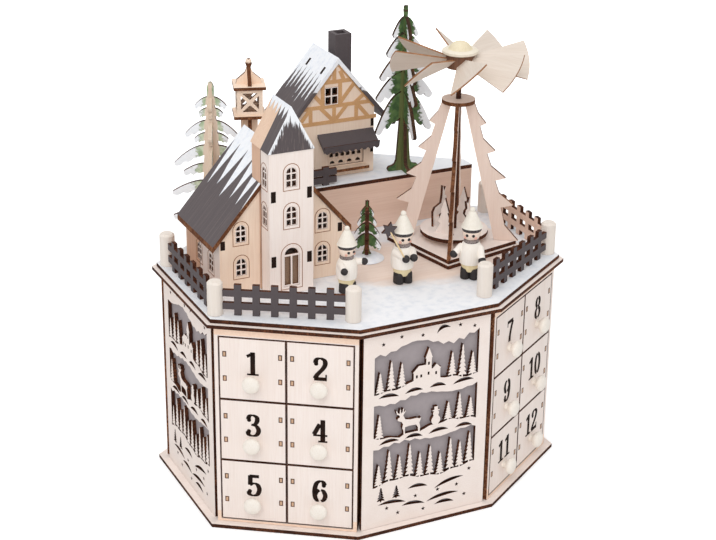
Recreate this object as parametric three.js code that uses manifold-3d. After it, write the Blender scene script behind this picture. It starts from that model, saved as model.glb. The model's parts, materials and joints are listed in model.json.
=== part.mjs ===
// Advent calendar: an eight-sided plywood house of drawers with a winter village on its top deck.
// Millimetres, +Z up, the origin on the floor under the middle, the fretwork front facing -Y.
import * as THREE from 'three';
import { mergeVertices } from 'three/addons/utils/BufferGeometryUtils.js';
import Module from 'manifold-3d';

const wasm = await Module();
wasm.setup();

// Stock and clearances
const PLY = 3;                 // thickness of the plywood
const VENEER = 1.2;            // thickness of the rotor blades
const SEAT = 0.2;              // glue line under a piece that stands on another
const FIT = 0.3;               // gap beside a piece that fits another

// Eight-sided body
const BASE_WIDTH = 300;
const BASE_DEPTH = 243;
const FRONT_EDGE = 115;        // length of the base plate's front and back edges
const SIDE_EDGE = 117.6;       // length of its left and right edges
const BODY_HEIGHT = 163;       // between the base plate and the deck
const BODY_INSET = 6;          // from the base plate's edge to the faces
const DECK_INSET = 3.2;        // step back of the upper deck layer
const FRONT_SLOT = 3.5;        // from a body corner to the front and back fret panels
const SIDE_SLOT = 5;           // from a body corner to the left and right fret panels
const BACKING = 1;             // thickness of the sheet behind a fret panel

// Drawers and their racks
const COLUMNS = 2;
const ROWS = 3;
const TOP_RAIL = 8;
const BOTTOM_RAIL = 2;
const RACK_DEPTH = 62;
const DRAWER_GAP = 0.7;        // seen round each drawer front
const TRAY_PLAY = 0.75;        // gap beside each side of a tray
const TRAY_HEADROOM = 9.5;     // over a tray, for fingers
const TRAY_STOP = 5;           // from a tray's back to the rack's back wall
const KNOB_RADIUS = 6.7;
const KNOB_REACH = 10;
const KNOB_DROP = 34;          // from the top of the drawer front to the knob

// Fences on the deck
const SIDE_POST = { x: 140, y: 50 };
const FRONT_POST = { x: 54, y: 101.5 };
const POST_RADIUS = 5.8;
const POST_HEIGHT = 26;
const PICKET = 5.2;            // width of a picket and of a rail
const PICKET_PITCH = 13.4;
const FENCE_HEIGHT = 24;
const RAIL_LOW = 4.5;
const RAIL_HIGH = 14.5;

// Church
const CHURCH_X = -75;
const CHURCH_FRONT = -22;      // Y of the nave's front wall
const NAVE_WIDTH = 100;
const NAVE_LENGTH = 70;
const NAVE_WALL = 42;
const NAVE_SLOPE = 49;         // degrees
const NAVE_OVERHANG = 6;
const TOWER_WIDTH = 35;
const TOWER_DEPTH = 32;
const TOWER_FRONT = 17.6;      // how far the tower stands out of the nave's front wall
const TOWER_HEIGHT = 111;
const SPIRE_HEIGHT = 34;

// House on its terrace
const TERRACE_HEIGHT = 42;
const TERRACE_FRONT = 53;
const TERRACE_LEFT = -32;
const TERRACE_RIGHT = BASE_WIDTH / 2 - 22;
const TERRACE_INSET = 6;       // from the base plate's edge to the terrace's back walls
const HOUSE_X = 13.4;
const HOUSE_FRONT = 72;
const HOUSE_WIDTH = 66;
const HOUSE_LENGTH = 41;
const HOUSE_WALL = 55;
const HOUSE_SLOPE = 50;        // degrees
const HOUSE_OVERHANG = 11.5;
const CHIMNEY_SIZE = 14;
const CHIMNEY_OFFSET = 12;     // from the ridge to the chimney's middle
const CHIMNEY_TOP = 113;       // above the terrace

// Candle-arch pyramid with its turning rotor
const PYRAMID_X = 81;
const PYRAMID_Y = -4;
const PYRAMID_TURN = 12;       // degrees
const PLATFORM_SIZE = 75;
const LEG_HEIGHT = 112;
const LEG_FOOT = 51;           // radius at the outer foot of a leg
const LEG_INNER = 32;          // radius at the inner foot of a leg
const LEG_NECK = 5;            // radius of a leg's inner edge at the top
const LEG_TIPS = [[46, 30], [39, 52], [30, 74], [22, 96]];
const TOP_DISC_RADIUS = 13;
const SHAFT_RADIUS = 2;
const SHAFT_PLAY = 0.3;
const TURNTABLE_RADIUS = 27;
const TURNTABLE_LIFT = 5;      // above the platform
const ROTOR_LIFT = 145;        // blade axis above the platform
const ROTOR_RADIUS = 53.5;
const ROTOR_TURN = 11.5;        // degrees, where the first blade rests
const HUB_RADIUS = 14;
const HUB_CORE = 11;           // radius of the block that holds the blades
const HUB_DROP = 5;            // from the blade axis to the block's underside
const BLADES = 8;
const BLADE_PITCH = 42;        // degrees
const BLADE_SPREAD = 19;       // degrees, half angle of a blade's fan shape
const BLADE_ROOT = 4;          // half width at the hub

// Trees, lantern and figures
const TALL_TREE = { x: 69.5, y: 65, height: 137, bare: 0.44, reach: 24, cross: 1, droop: 0.85, tiers: 5, turn: -4 };
const LEFT_TREE = { x: -92, y: 76, height: 133, bare: 0.24, reach: 31, cross: 0.7, droop: 0.5, tiers: 6, turn: -26 };
const SMALL_TREE = { x: 5, y: -2, height: 48, bare: 0.28, reach: 11, cross: 1, droop: 0.6, tiers: 4, turn: -26 };
const MOUND_RADIUS = 13;
const MOUND_HEIGHT = 4;
const LANTERN_X = -58.5;
const LANTERN_Y = 80;
const LANTERN_POST = 13;
const LANTERN_LIFT = 101;      // of the lamp above the deck
const LAMP_SIZE = 20;
const LAMP_HEIGHT = 21;
const LAMP_BRIM = 25;
const LANTERN_TURN = -18;      // degrees
const LAMP_ROOF = 20;
const FIGURES = [
  { name: 'caroler_left', x: -36, y: -52, turn: 18, height: 52, star: false },
  { name: 'caroler_middle', x: 10, y: -53, turn: 4, height: 57, star: true },
  { name: 'caroler_right', x: 61, y: -67, turn: -12, height: 57, star: false },
];

const DECK = 2 * PLY + BODY_HEIGHT + PLY;
const radians = THREE.MathUtils.degToRad;

function paint(color, roughness = 0.7) {
  return new THREE.MeshStandardMaterial({ color, roughness, metalness: 0 });
}

const birch = paint(0xf0e2cf);
const pine = paint(0xe2c39c);
const snow = paint(0xf1f2f5, 0.85);
const slate = paint(0x5d5454, 0.8);
const green = paint(0x3f6b34, 0.75);
const frost = paint(0xc9d3c6, 0.8);
const lilac = paint(0x98909c, 0.8);
const cream = paint(0xf5ecd9, 0.5);

// A closed geometry as a solid that can be joined and cut
function solid(geometry) {
  const bare = geometry.clone();
  bare.deleteAttribute('normal');
  bare.deleteAttribute('uv');
  const merged = mergeVertices(bare, 1e-4);
  const triangles = [];
  const index = merged.index.array;
  for (let i = 0; i < index.length; i += 3) {
    const [a, b, c] = [index[i], index[i + 1], index[i + 2]];
    if (a !== b && b !== c && c !== a) triangles.push(a, b, c);
  }
  return new wasm.Manifold(new wasm.Mesh({
    numProp: 3,
    vertProperties: merged.attributes.position.array,
    triVerts: Uint32Array.from(triangles),
  }));
}

function geometryOf(form) {
  const mesh = form.getMesh();
  const geometry = new THREE.BufferGeometry();
  geometry.setAttribute('position', new THREE.BufferAttribute(mesh.vertProperties, 3));
  geometry.setIndex(new THREE.BufferAttribute(mesh.triVerts, 1));
  return geometry;
}

function join(geometries) {
  return geometryOf(geometries.map(solid).reduce((whole, next) => whole.add(next)));
}

function cut(geometry, tools) {
  return geometryOf(tools.map(solid).reduce((whole, next) => whole.subtract(next), solid(geometry)));
}

function shapeOf(points) {
  return new THREE.Shape(points.map(([x, y]) => new THREE.Vector2(x, y)));
}

// A plate lying flat, its underside at z = 0
function flat(shape, thickness) {
  return new THREE.ExtrudeGeometry(shape, { depth: thickness, bevelEnabled: false, curveSegments: 5 });
}

// A plate standing up: the outline's y becomes height, and its outer face looks along -Y
function upright(shape, thickness) {
  return flat(shape, thickness).rotateX(Math.PI / 2).translate(0, thickness, 0);
}

// A standing plate of plywood with openings sawn through it
function plateWithHoles(points, holes) {
  const saws = holes.map((hole) => upright(shapeOf(hole), PLY + 2).translate(0, -1, 0));
  return cut(upright(shapeOf(points), PLY), saws);
}

// A box over the given ranges
function block([x0, x1], [y0, y1], [z0, z1]) {
  const box = new THREE.BoxGeometry(x1 - x0, y1 - y0, z1 - z0);
  return box.translate((x0 + x1) / 2, (y0 + y1) / 2, (z0 + z1) / 2);
}

// A turned piece from [radius, height] points, standing on z = 0
function turned(profile, segments) {
  const points = profile.map(([r, z]) => new THREE.Vector2(r, z));
  return new THREE.LatheGeometry(points, segments).rotateX(Math.PI / 2);
}

function piece(name, geometry, material) {
  const mesh = new THREE.Mesh(geometry, material);
  mesh.name = name;
  return mesh;
}

function place(object, x, y, z, turn = 0) {
  object.position.set(x, y, z);
  object.rotation.z = radians(turn);
  return object;
}

// Corner distances of the eight-sided outline, moved in by an inset
const halfWidth = BASE_WIDTH / 2;
const halfDepth = BASE_DEPTH / 2;
const bevelX = halfWidth - FRONT_EDGE / 2;
const bevelY = halfDepth - SIDE_EDGE / 2;
const bevelLength = Math.hypot(bevelX, bevelY);
const bevelNormal = [bevelY / bevelLength, bevelX / bevelLength];
const BEVEL_TURN = THREE.MathUtils.radToDeg(Math.asin(bevelNormal[0]));

function bevelReach(inset) {
  return bevelNormal[0] * FRONT_EDGE / 2 + bevelNormal[1] * halfDepth - inset;
}

function corner(inset) {
  const reach = bevelReach(inset);
  const x = (reach - bevelNormal[1] * (halfDepth - inset)) / bevelNormal[0];
  const y = (reach - bevelNormal[0] * (halfWidth - inset)) / bevelNormal[1];
  return { frontX: x, frontY: halfDepth - inset, sideX: halfWidth - inset, sideY: y };
}

function octagon(inset) {
  const c = corner(inset);
  return shapeOf([
    [-c.frontX, -c.frontY], [c.frontX, -c.frontY], [c.sideX, -c.sideY], [c.sideX, c.sideY],
    [c.frontX, c.frontY], [-c.frontX, c.frontY], [-c.sideX, c.sideY], [-c.sideX, -c.sideY],
  ]);
}

// The eight faces: middle of each face, and the turn of its outward normal from -Y
const body = corner(BODY_INSET);
const bevelMiddle = { x: (body.frontX + body.sideX) / 2, y: (body.frontY + body.sideY) / 2 };
const bevelFace = Math.hypot(body.sideX - body.frontX, body.frontY - body.sideY);
const frontPanel = 2 * (body.frontX - FRONT_SLOT);
const sidePanel = 2 * (body.sideY - SIDE_SLOT);
const PANEL_FACES = [
  { name: 'front', x: 0, y: -body.frontY, turn: 0, width: frontPanel },
  { name: 'right', x: body.sideX, y: 0, turn: 90, width: sidePanel },
  { name: 'back', x: 0, y: body.frontY, turn: 180, width: frontPanel },
  { name: 'left', x: -body.sideX, y: 0, turn: 270, width: sidePanel },
];
const RACK_FACES = [
  { name: 'front_left', x: -bevelMiddle.x, y: -bevelMiddle.y, turn: -BEVEL_TURN },
  { name: 'front_right', x: bevelMiddle.x, y: -bevelMiddle.y, turn: BEVEL_TURN },
  { name: 'back_right', x: bevelMiddle.x, y: bevelMiddle.y, turn: 180 - BEVEL_TURN },
  { name: 'back_left', x: -bevelMiddle.x, y: bevelMiddle.y, turn: 180 + BEVEL_TURN },
];

// Plates of the body
function plates() {
  const base = piece('base_plate', flat(octagon(0), PLY), birch);
  const lower = piece('deck_lower', flat(octagon(0), PLY - SEAT), birch);
  const upper = piece('deck_upper', flat(octagon(DECK_INSET), PLY), snow);
  lower.position.z = PLY + BODY_HEIGHT;
  upper.position.z = 2 * PLY + BODY_HEIGHT;
  return [base, lower, upper];
}

// Fretwork: silhouettes stand on the lower edge of three open windows
const FRET_MARGIN = 9;         // solid wood left beside the windows
const FRET_HEIGHT = 162.6;     // height of the panel that the fretwork is drawn for

// Points of a fir, from its left foot over the tip to its right foot
function fir(height, half, tiers = 3) {
  const step = height / (tiers + 0.2);
  const left = [];
  for (let k = 0; k < tiers; k += 1) {
    const reach = half * (1 - k / (tiers + 0.6));
    left.push([-reach, step * k]);
    if (k < tiers - 1) left.push([-reach * 0.45, step * (k + 0.9)]);
  }
  const right = left.map(([x, z]) => [-x, z]).reverse();
  return [...left, [0, height], ...right];
}

const CHAPEL = [
  [-10, 0], [-10, 7], [-11, 7], [-6, 12.5], [1, 12.5], [1, 18], [0.2, 18], [3.5, 27], [6.8, 18], [6, 18], [6, 0],
];
const CHAPEL_WINDOWS = [[-6, 3], [3.5, 3], [3.5, 12]];

const STAG = [
  [-5.8, 0], [-7.5, 0], [-7, 9], [-9, 13], [-13.5, 16], [-13, 18], [-10.5, 19.5], [-13, 25], [-10, 22.5], [-9.5, 27.5],
  [-8, 22.5], [-4.5, 25], [-7, 20], [-5, 15], [7, 14], [10.5, 12], [9, 8], [9.5, 0],
  [7.8, 0], [6.5, 7], [-4.8, 7.5],
];

function snowman(radius) {
  const side = [];
  for (const [centre, r, from, to] of [[radius * 0.9, radius, -60, 48], [radius * 2.4, radius * 0.66, -42, 50]]) {
    for (let k = 0; k <= 2; k += 1) {
      const angle = radians(from + (to - from) * k / 2);
      side.push([-r * Math.cos(angle), centre + r * Math.sin(angle)]);
    }
  }
  side.push([-radius * 0.7, radius * 3.05], [-radius * 0.4, radius * 3.05], [-radius * 0.4, radius * 3.8]);
  return [...side, ...side.map(([x, z]) => [-x, z]).reverse()];
}

function star(radius, x, z) {
  const points = [];
  for (let k = 0; k < 10; k += 1) {
    const angle = radians(90 + 36 * k);
    const r = k % 2 ? radius * 0.42 : radius;
    points.push([x + r * Math.cos(angle), z + r * Math.sin(angle)]);
  }
  return points;
}

// A curved sliver, thick in the middle: a moon or a drift of snow
function sliver(x, z, length, sag, thickness, tilt) {
  const steps = 3;
  const lower = [];
  const upper = [];
  for (let k = 0; k <= steps; k += 1) {
    const along = k / steps - 0.5;
    const rise = sag * (1 - 4 * along * along);
    const half = thickness * (1 - 4 * along * along) / 2;
    lower.push([along * length, rise - half]);
    if (k > 0 && k < steps) upper.push([along * length, rise + half]);
  }
  const angle = radians(tilt);
  return [...lower, ...upper.reverse()].map(([a, b]) => [
    x + a * Math.cos(angle) - b * Math.sin(angle),
    z + a * Math.sin(angle) + b * Math.cos(angle),
  ]);
}

function rectangle(x, z, width, height) {
  return [
    [x - width / 2, z - height / 2], [x + width / 2, z - height / 2],
    [x + width / 2, z + height / 2], [x - width / 2, z + height / 2],
  ];
}

// One open window over a hill line, as a saw through the plate that leaves the figures standing
function fretWindow(half, ground, sky, figures) {
  const steps = 6;
  const lower = [];
  const upper = [];
  for (let k = 0; k <= steps; k += 1) {
    const x = half * (2 * k / steps - 1);
    lower.push([x, ground(x)]);
    upper.unshift([x, sky(x)]);
  }
  const opening = upright(shapeOf([...lower, ...upper]), PLY + 2).translate(0, -1, 0);
  const standing = figures.map(({ x, outline }) => (
    upright(shapeOf(outline), PLY + 4).translate(x, -2, ground(x) - 1)
  ));
  return cut(opening, standing);
}

function fretWindows(half) {
  const farGround = (x) => 108 + 3 * Math.cos(x / 14);
  const farSky = (x) => 145 + 3.5 * Math.cos(x / 9 + 1);
  const midGround = (x) => 66 + 4 * Math.sin(x / 16);
  const midSky = (x) => 99 + 3 * Math.cos(x / 11);
  const nearGround = (x) => 22 + 2.5 * Math.cos(x / 12 + 2);
  const nearSky = (x) => 57 + 3 * Math.sin(x / 13 + 0.4);
  const far = [
    { x: -0.8 * half, outline: fir(25, 6) }, { x: -0.45 * half, outline: fir(31, 7) },
    { x: 0.02 * half, outline: CHAPEL }, { x: 0.44 * half, outline: fir(25, 6) },
    { x: 0.78 * half, outline: fir(31, 7) },
  ];
  const middle = [
    { x: -0.8 * half, outline: fir(24, 6) }, { x: -0.28 * half, outline: STAG },
    { x: 0.32 * half, outline: snowman(5) }, { x: 0.76 * half, outline: fir(26, 6.5) },
  ];
  const near = [-0.8, -0.4, 0, 0.4, 0.8].map((share, k) => (
    { x: share * half, outline: fir([23, 29, 25, 31, 24][k], [5.6, 7.2][k % 2]) }
  ));
  return [
    fretWindow(half, farGround, farSky, far),
    fretWindow(half, midGround, midSky, middle),
    fretWindow(half, nearGround, nearSky, near),
  ];
}

// Small openings: stars, moon, drifts of snow, and the chapel's windows
function fretHoles(half) {
  const chapelX = 0.02 * half;
  const chapelFoot = 110;
  return [
    ...CHAPEL_WINDOWS.map(([x, z]) => rectangle(chapelX + x, chapelFoot + z, 2, 3.4)),
    star(2.4, -0.7 * half, 154), star(2.8, -0.1 * half, 153), star(2.2, 0.82 * half, 154.5),
    sliver(0.36 * half, 152, 12, 3.2, 2.4, 20),
    sliver(-0.5 * half, 11.5, 26, 2.4, 2.6, 5), sliver(0.5 * half, 11, 26, 2.4, 2.6, -5),
    rectangle(0, 11, 3.4, 3.4),
  ];
}

function fretPanel(face) {
  const { width } = face;
  const height = BODY_HEIGHT - 2 * SEAT;
  const outline = rectangle(0, height / 2, width, height);
  const backWidth = width - 2 * PLY;
  const backing = shapeOf(rectangle(0, height / 2, backWidth, height));
  const group = place(new THREE.Group(), face.x, face.y, 0, face.turn);
  const half = width / 2 - FRET_MARGIN;
  const rise = height / FRET_HEIGHT;
  const small = fretHoles(half).map((hole) => hole.map(([x, z]) => [x, z * rise]));
  const windows = fretWindows(half).map((window) => window.scale(1, 1, rise));
  const fretwork = cut(plateWithHoles(outline, small), windows);
  const panel = piece(`fret_panel_${face.name}`, fretwork, birch);
  const sheet = piece(`panel_backing_${face.name}`, upright(backing, BACKING), lilac);
  panel.position.z = PLY + SEAT;
  sheet.position.set(0, PLY + FIT, PLY + SEAT);
  group.add(panel, sheet);
  return group;
}

// Drawer grid of a rack, in the rack's own frame: x along the face, y inward, z from the floor
const openingWidth = bevelFace - 2 * PLY;
const openingLow = PLY + BOTTOM_RAIL;
const openingHigh = PLY + BODY_HEIGHT - TOP_RAIL;
const frontWidth = (openingWidth - (COLUMNS + 1) * DRAWER_GAP) / COLUMNS;
const frontHeight = (openingHigh - openingLow - (ROWS + 1) * DRAWER_GAP) / ROWS;
const columnPitch = frontWidth + DRAWER_GAP;
const rowPitch = frontHeight + DRAWER_GAP;
const frontRecess = PLY + FIT;

function cellCentre(column) {
  return (column - (COLUMNS - 1) / 2) * columnPitch;
}

function cellFloor(row) {
  return openingHigh - DRAWER_GAP / 2 - (row + 1) * rowPitch + PLY / 2;
}

function drawerRack(face) {
  const outerHalf = bevelFace / 2 - SEAT;
  const top = PLY + BODY_HEIGHT - SEAT;
  const shell = block([-outerHalf, outerHalf], [0, RACK_DEPTH], [PLY + SEAT, top]);
  const cellWidth = columnPitch - PLY;
  const cellHeight = rowPitch - PLY;
  const hollows = [
    block([-openingWidth / 2, openingWidth / 2], [-1, frontRecess], [openingLow, openingHigh]),
    block([PLY - outerHalf, outerHalf - PLY], [PLY, RACK_DEPTH + 1], [cellFloor(0) + cellHeight + PLY, top + 1]),
  ];
  for (let row = 0; row < ROWS; row += 1) {
    for (let column = 0; column < COLUMNS; column += 1) {
      const x = cellCentre(column);
      const z = cellFloor(row);
      hollows.push(block([x - cellWidth / 2, x + cellWidth / 2], [0, RACK_DEPTH - PLY], [z, z + cellHeight]));
    }
  }
  return piece(`drawer_rack_${face.name}`, cut(shell, hollows), pine);
}

// A drawer: front board, tray and turned knob, with its front face at y = 0 and its foot at z = 0
function drawerForm() {
  const trayFoot = cellFloor(0) + FIT - (openingHigh - DRAWER_GAP - frontHeight);
  const trayTop = trayFoot + rowPitch - PLY - TRAY_HEADROOM;
  const trayBack = RACK_DEPTH - PLY - TRAY_STOP;
  const half = (columnPitch - PLY) / 2 - TRAY_PLAY;
  const front = block([-frontWidth / 2, frontWidth / 2], [0, PLY], [0, frontHeight]);
  const tray = block([-half, half], [PLY - FIT, trayBack], [trayFoot, trayTop]);
  const hollow = block([PLY - half, half - PLY], [PLY, trayBack - PLY], [trayFoot + PLY, trayTop + 1]);
  const knob = turned([
    [0, -FIT], [2.8, -FIT], [2.8, KNOB_REACH * 0.35], [KNOB_RADIUS, KNOB_REACH * 0.55],
    [KNOB_RADIUS * 0.85, KNOB_REACH * 0.85], [0, KNOB_REACH],
  ], 8).rotateX(Math.PI / 2).translate(0, 0, frontHeight - KNOB_DROP);
  return join([cut(join([front, tray]), [hollow]), knob]);
}

function rackFaces() {
  const form = drawerForm();
  return RACK_FACES.map((face, side) => {
    const group = place(new THREE.Group(), face.x, face.y, 0, face.turn);
    group.add(drawerRack(face));
    for (let row = 0; row < ROWS; row += 1) {
      for (let column = 0; column < COLUMNS; column += 1) {
        const number = side * ROWS * COLUMNS + row * COLUMNS + column + 1;
        const name = `drawer_${String(number).padStart(2, '0')}`;
        const foot = openingHigh - (row + 1) * rowPitch;
        group.add(place(piece(name, form, birch), cellCentre(column), 0, foot));
      }
    }
    return group;
  });
}

// Fence: posts joined by two-railed lattice sections
function fencePost() {
  const r = POST_RADIUS;
  return turned([[0, 0], [r, 0], [r, POST_HEIGHT - 3], [r * 0.7, POST_HEIGHT - 0.8], [0, POST_HEIGHT]], 8);
}

// A section sawn from one plate: two rails, and pickets that stand out above and below them
function lattice(length, height, [low, high]) {
  const end = length / 2;
  const half = PICKET / 2;
  const count = Math.floor((length - PICKET) / PICKET_PITCH);
  const middles = Array.from({ length: count }, (_, k) => (k - (count - 1) / 2) * PICKET_PITCH);
  const [first, last] = [middles[0] - half, middles[count - 1] + half];
  const underside = middles.flatMap((x) => [[x - half, low], [x - half, 0], [x + half, 0], [x + half, low]]);
  const top = high + PICKET;
  const upside = [...middles].reverse().flatMap((x) => (
    [[x + half, top], [x + half, height], [x - half, height], [x - half, top]]
  ));
  const outline = [
    [-end, low], ...underside, [end, low], [end, low + PICKET], [last, low + PICKET], [last, high], [end, high],
    [end, top], ...upside, [-end, top], [-end, high], [first, high], [first, low + PICKET], [-end, low + PICKET],
  ];
  const gaps = middles.slice(1).map((x) => {
    const middle = x - PICKET_PITCH / 2;
    return rectangle(middle, (low + PICKET + high) / 2, PICKET_PITCH - PICKET, high - low - PICKET);
  });
  return plateWithHoles(outline, gaps).translate(0, -PLY / 2, 0);
}

function fenceRun(posts) {
  const parts = posts.map(([x, y]) => fencePost().translate(x, y, 0));
  for (let k = 1; k < posts.length; k += 1) {
    const [x0, y0] = posts[k - 1];
    const [x1, y1] = posts[k];
    const length = Math.hypot(x1 - x0, y1 - y0) - POST_RADIUS;
    const section = lattice(length, FENCE_HEIGHT, [RAIL_LOW, RAIL_HIGH]);
    section.rotateZ(Math.atan2(y1 - y0, x1 - x0)).translate((x0 + x1) / 2, (y0 + y1) / 2, 0);
    parts.push(section);
  }
  return join(parts);
}

function fences() {
  const left = [[-SIDE_POST.x, SIDE_POST.y], [-SIDE_POST.x, -SIDE_POST.y], [-FRONT_POST.x, -FRONT_POST.y]];
  const right = left.map(([x, y]) => [-x, y]);
  return [
    place(piece('fence_left', fenceRun(left), slate), 0, 0, DECK + SEAT),
    place(piece('fence_right', fenceRun(right), slate), 0, 0, DECK + SEAT),
  ];
}

// Arched window opening, sill at the given height
function archedWindow(x, sill, width, height) {
  const half = width / 2;
  const spring = sill + height - half;
  const outline = [[x - half, sill], [x + half, sill]];
  for (let k = 0; k <= 4; k += 1) {
    const angle = radians(45 * k);
    outline.push([x + half * Math.cos(angle), spring + half * Math.sin(angle)]);
  }
  return outline;
}

// Gable outline: straight walls up to the eaves, then the roof slope to the ridge
function gable(width, wall, slope) {
  const rise = width / 2 * Math.tan(radians(slope));
  return [[-width / 2, 0], [width / 2, 0], [width / 2, wall], [0, wall + rise], [-width / 2, wall]];
}

// Four walls with gable ends: the front face at y = 0
function gabledWalls({ width, length, wall, slope, frontHoles, leftHoles, rightHoles }) {
  const outline = gable(width, wall, slope);
  const front = plateWithHoles(outline, frontHoles);
  const back = plateWithHoles(outline, []).translate(0, length - PLY, 0);
  const sideOutline = [[0, 0], [length, 0], [length, wall], [0, wall]];
  const right = plateWithHoles(sideOutline, rightHoles).rotateZ(Math.PI / 2).translate(width / 2, 0, 0);
  const leftMirrored = leftHoles.map((hole) => hole.map(([y, z]) => [length - y, z]));
  const left = plateWithHoles(sideOutline, leftMirrored).rotateZ(-Math.PI / 2).translate(-width / 2, length, 0);
  return join([front, back, right, left]);
}

// Two roof boards meeting at the ridge, lying on walls of the given gable
function roofBoards({ width, wall, slope, overhang, from, to }) {
  const tan = Math.tan(radians(slope));
  const rise = width / 2 * tan;
  const lift = SEAT / Math.cos(radians(slope));
  const thick = PLY / Math.cos(radians(slope));
  const span = width / 2 + overhang;
  const ridge = wall + rise + lift;
  const eave = ridge - span * tan;
  const shape = shapeOf([
    [-span, eave], [0, ridge], [span, eave], [span, eave + thick], [0, ridge + thick], [-span, eave + thick],
  ]);
  return upright(shape, to - from).translate(0, from, 0);
}

function church() {
  const group = place(new THREE.Group(), CHURCH_X, CHURCH_FRONT, DECK + SEAT);
  const notch = block(
    [-TOWER_WIDTH / 2 - FIT, TOWER_WIDTH / 2 + FIT],
    [-TOWER_FRONT - PLY, TOWER_DEPTH - TOWER_FRONT + FIT],
    [-1, TOWER_HEIGHT + SPIRE_HEIGHT],
  );
  const windowX = 33;
  const sills = [13, 39.5];
  const naveSize = { width: NAVE_WIDTH, length: NAVE_LENGTH, wall: NAVE_WALL, slope: NAVE_SLOPE };
  const nave = gabledWalls({
    ...naveSize,
    frontHoles: sills.flatMap((sill) => [-windowX, windowX].map((x) => archedWindow(x, sill, 8.6, 14))),
    leftHoles: [18, 42].map((y) => archedWindow(y, sills[0], 8.6, 14)),
    rightHoles: [18, 42].map((y) => archedWindow(y, sills[0], 8.6, 14)),
  });
  const roof = roofBoards({ ...naveSize, overhang: NAVE_OVERHANG, from: -2, to: NAVE_LENGTH + 2 });
  group.add(piece('church_nave', cut(nave, [notch]), pine));
  group.add(piece('nave_roof', cut(roof, [notch]), slate));
  group.add(...tower());
  return group;
}

// Tower with its saddle roof, standing half inside the nave's front
function tower() {
  const half = TOWER_WIDTH / 2;
  const front = plateWithHoles(rectangle(0, TOWER_HEIGHT / 2, TOWER_WIDTH, TOWER_HEIGHT), [
    archedWindow(0, 6, 13, 31), archedWindow(0, 54, 9, 15.5), archedWindow(0, 84, 9, 15.5),
  ]);
  const sideOutline = rectangle(TOWER_DEPTH / 2, TOWER_HEIGHT / 2, TOWER_DEPTH, TOWER_HEIGHT);
  const sideWindows = [54, 84].map((sill) => archedWindow(9, sill, 7.5, 15.5));
  const mirrored = sideWindows.map((hole) => hole.map(([y, z]) => [TOWER_DEPTH - y, z]));
  const right = plateWithHoles(sideOutline, sideWindows).rotateZ(Math.PI / 2).translate(half, 0, 0);
  const left = plateWithHoles(sideOutline, mirrored).rotateZ(-Math.PI / 2).translate(-half, TOWER_DEPTH, 0);
  const back = block([-half, half], [TOWER_DEPTH - PLY, TOWER_DEPTH], [0, TOWER_HEIGHT]);
  const walls = piece('church_tower', join([front, right, left, back]), birch);
  const roofHalf = half + 1;
  const slope = Math.atan2(SPIRE_HEIGHT, roofHalf);
  const drop = PLY / Math.cos(slope);
  const outer = upright(shapeOf([[-roofHalf, 0], [roofHalf, 0], [0, SPIRE_HEIGHT]]), TOWER_DEPTH + 1);
  const innerHalf = roofHalf * (SPIRE_HEIGHT - drop) / SPIRE_HEIGHT;
  const inner = shapeOf([[-innerHalf, -1], [innerHalf, -1], [0, SPIRE_HEIGHT - drop]]);
  const hollow = upright(inner, TOWER_DEPTH + 1 - 2 * PLY).translate(0, PLY, 0);
  const roof = piece('tower_roof', cut(outer, [hollow]), slate);
  walls.position.set(0, -TOWER_FRONT, 0);
  roof.position.set(0, -TOWER_FRONT - 0.5, TOWER_HEIGHT + SEAT);
  return [walls, roof];
}

// Terrace: a raised box along the back, with a short fence at its front
function terrace() {
  const c = corner(TERRACE_INSET);
  const run = (c.sideX - TERRACE_RIGHT) / (c.sideX - c.frontX);
  const rightBack = c.sideY + (c.frontY - c.sideY) * run;
  const outline = [
    [TERRACE_LEFT, TERRACE_FRONT], [TERRACE_RIGHT, TERRACE_FRONT], [TERRACE_RIGHT, rightBack],
    [c.frontX, c.frontY], [TERRACE_LEFT, c.frontY],
  ];
  const inner = [
    [TERRACE_LEFT + PLY, TERRACE_FRONT + PLY], [TERRACE_RIGHT - PLY, TERRACE_FRONT + PLY],
    [TERRACE_RIGHT - PLY, rightBack - PLY], [c.frontX - PLY / 2, c.frontY - PLY],
    [TERRACE_LEFT + PLY, c.frontY - PLY],
  ];
  const box = flat(shapeOf(outline), TERRACE_HEIGHT - SEAT);
  const hollow = flat(shapeOf(inner), TERRACE_HEIGHT - SEAT - PLY + 1).translate(0, 0, -1);
  const rail = lattice(32, 16, [2.5, 9]).translate(TERRACE_LEFT + 22, TERRACE_FRONT + 4, TERRACE_HEIGHT - SEAT - 0.5);
  return place(piece('terrace', join([cut(box, [hollow]), rail]), pine), 0, 0, DECK + SEAT);
}

function house() {
  const group = place(new THREE.Group(), HOUSE_X, HOUSE_FRONT, DECK + TERRACE_HEIGHT + SEAT);
  const size = { width: HOUSE_WIDTH, length: HOUSE_LENGTH, wall: HOUSE_WALL, slope: HOUSE_SLOPE };
  const stallX = 8;
  const panes = [-1, 1].flatMap((side) => [0, 1].map((row) => (
    rectangle(-5.1 + side * 3, 64.5 + row * 7.2, 4.8, 6)
  )));
  const walls = gabledWalls({
    ...size,
    frontHoles: [...panes, rectangle(stallX, 15.5, 32, 13)],
    leftHoles: [],
    rightHoles: [],
  });
  const awning = shapeOf([[1, 0], [1, -2.5], [-13, -12.5], [-13, -10]]);
  const awningBoard = flat(awning, 49).rotateX(Math.PI / 2).rotateZ(Math.PI / 2).translate(stallX - 25, 0, 38);
  const counter = block([stallX - 18, stallX + 18], [-7, 1], [5.5, 8]);
  const roof = roofBoards({ ...size, overhang: HOUSE_OVERHANG, from: -2.5, to: HOUSE_LENGTH + 5 });
  group.add(piece('house_walls', join([walls, awningBoard, counter]), pine));
  group.add(piece('house_roof', roof, slate));
  group.add(chimney());
  return group;
}

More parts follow.
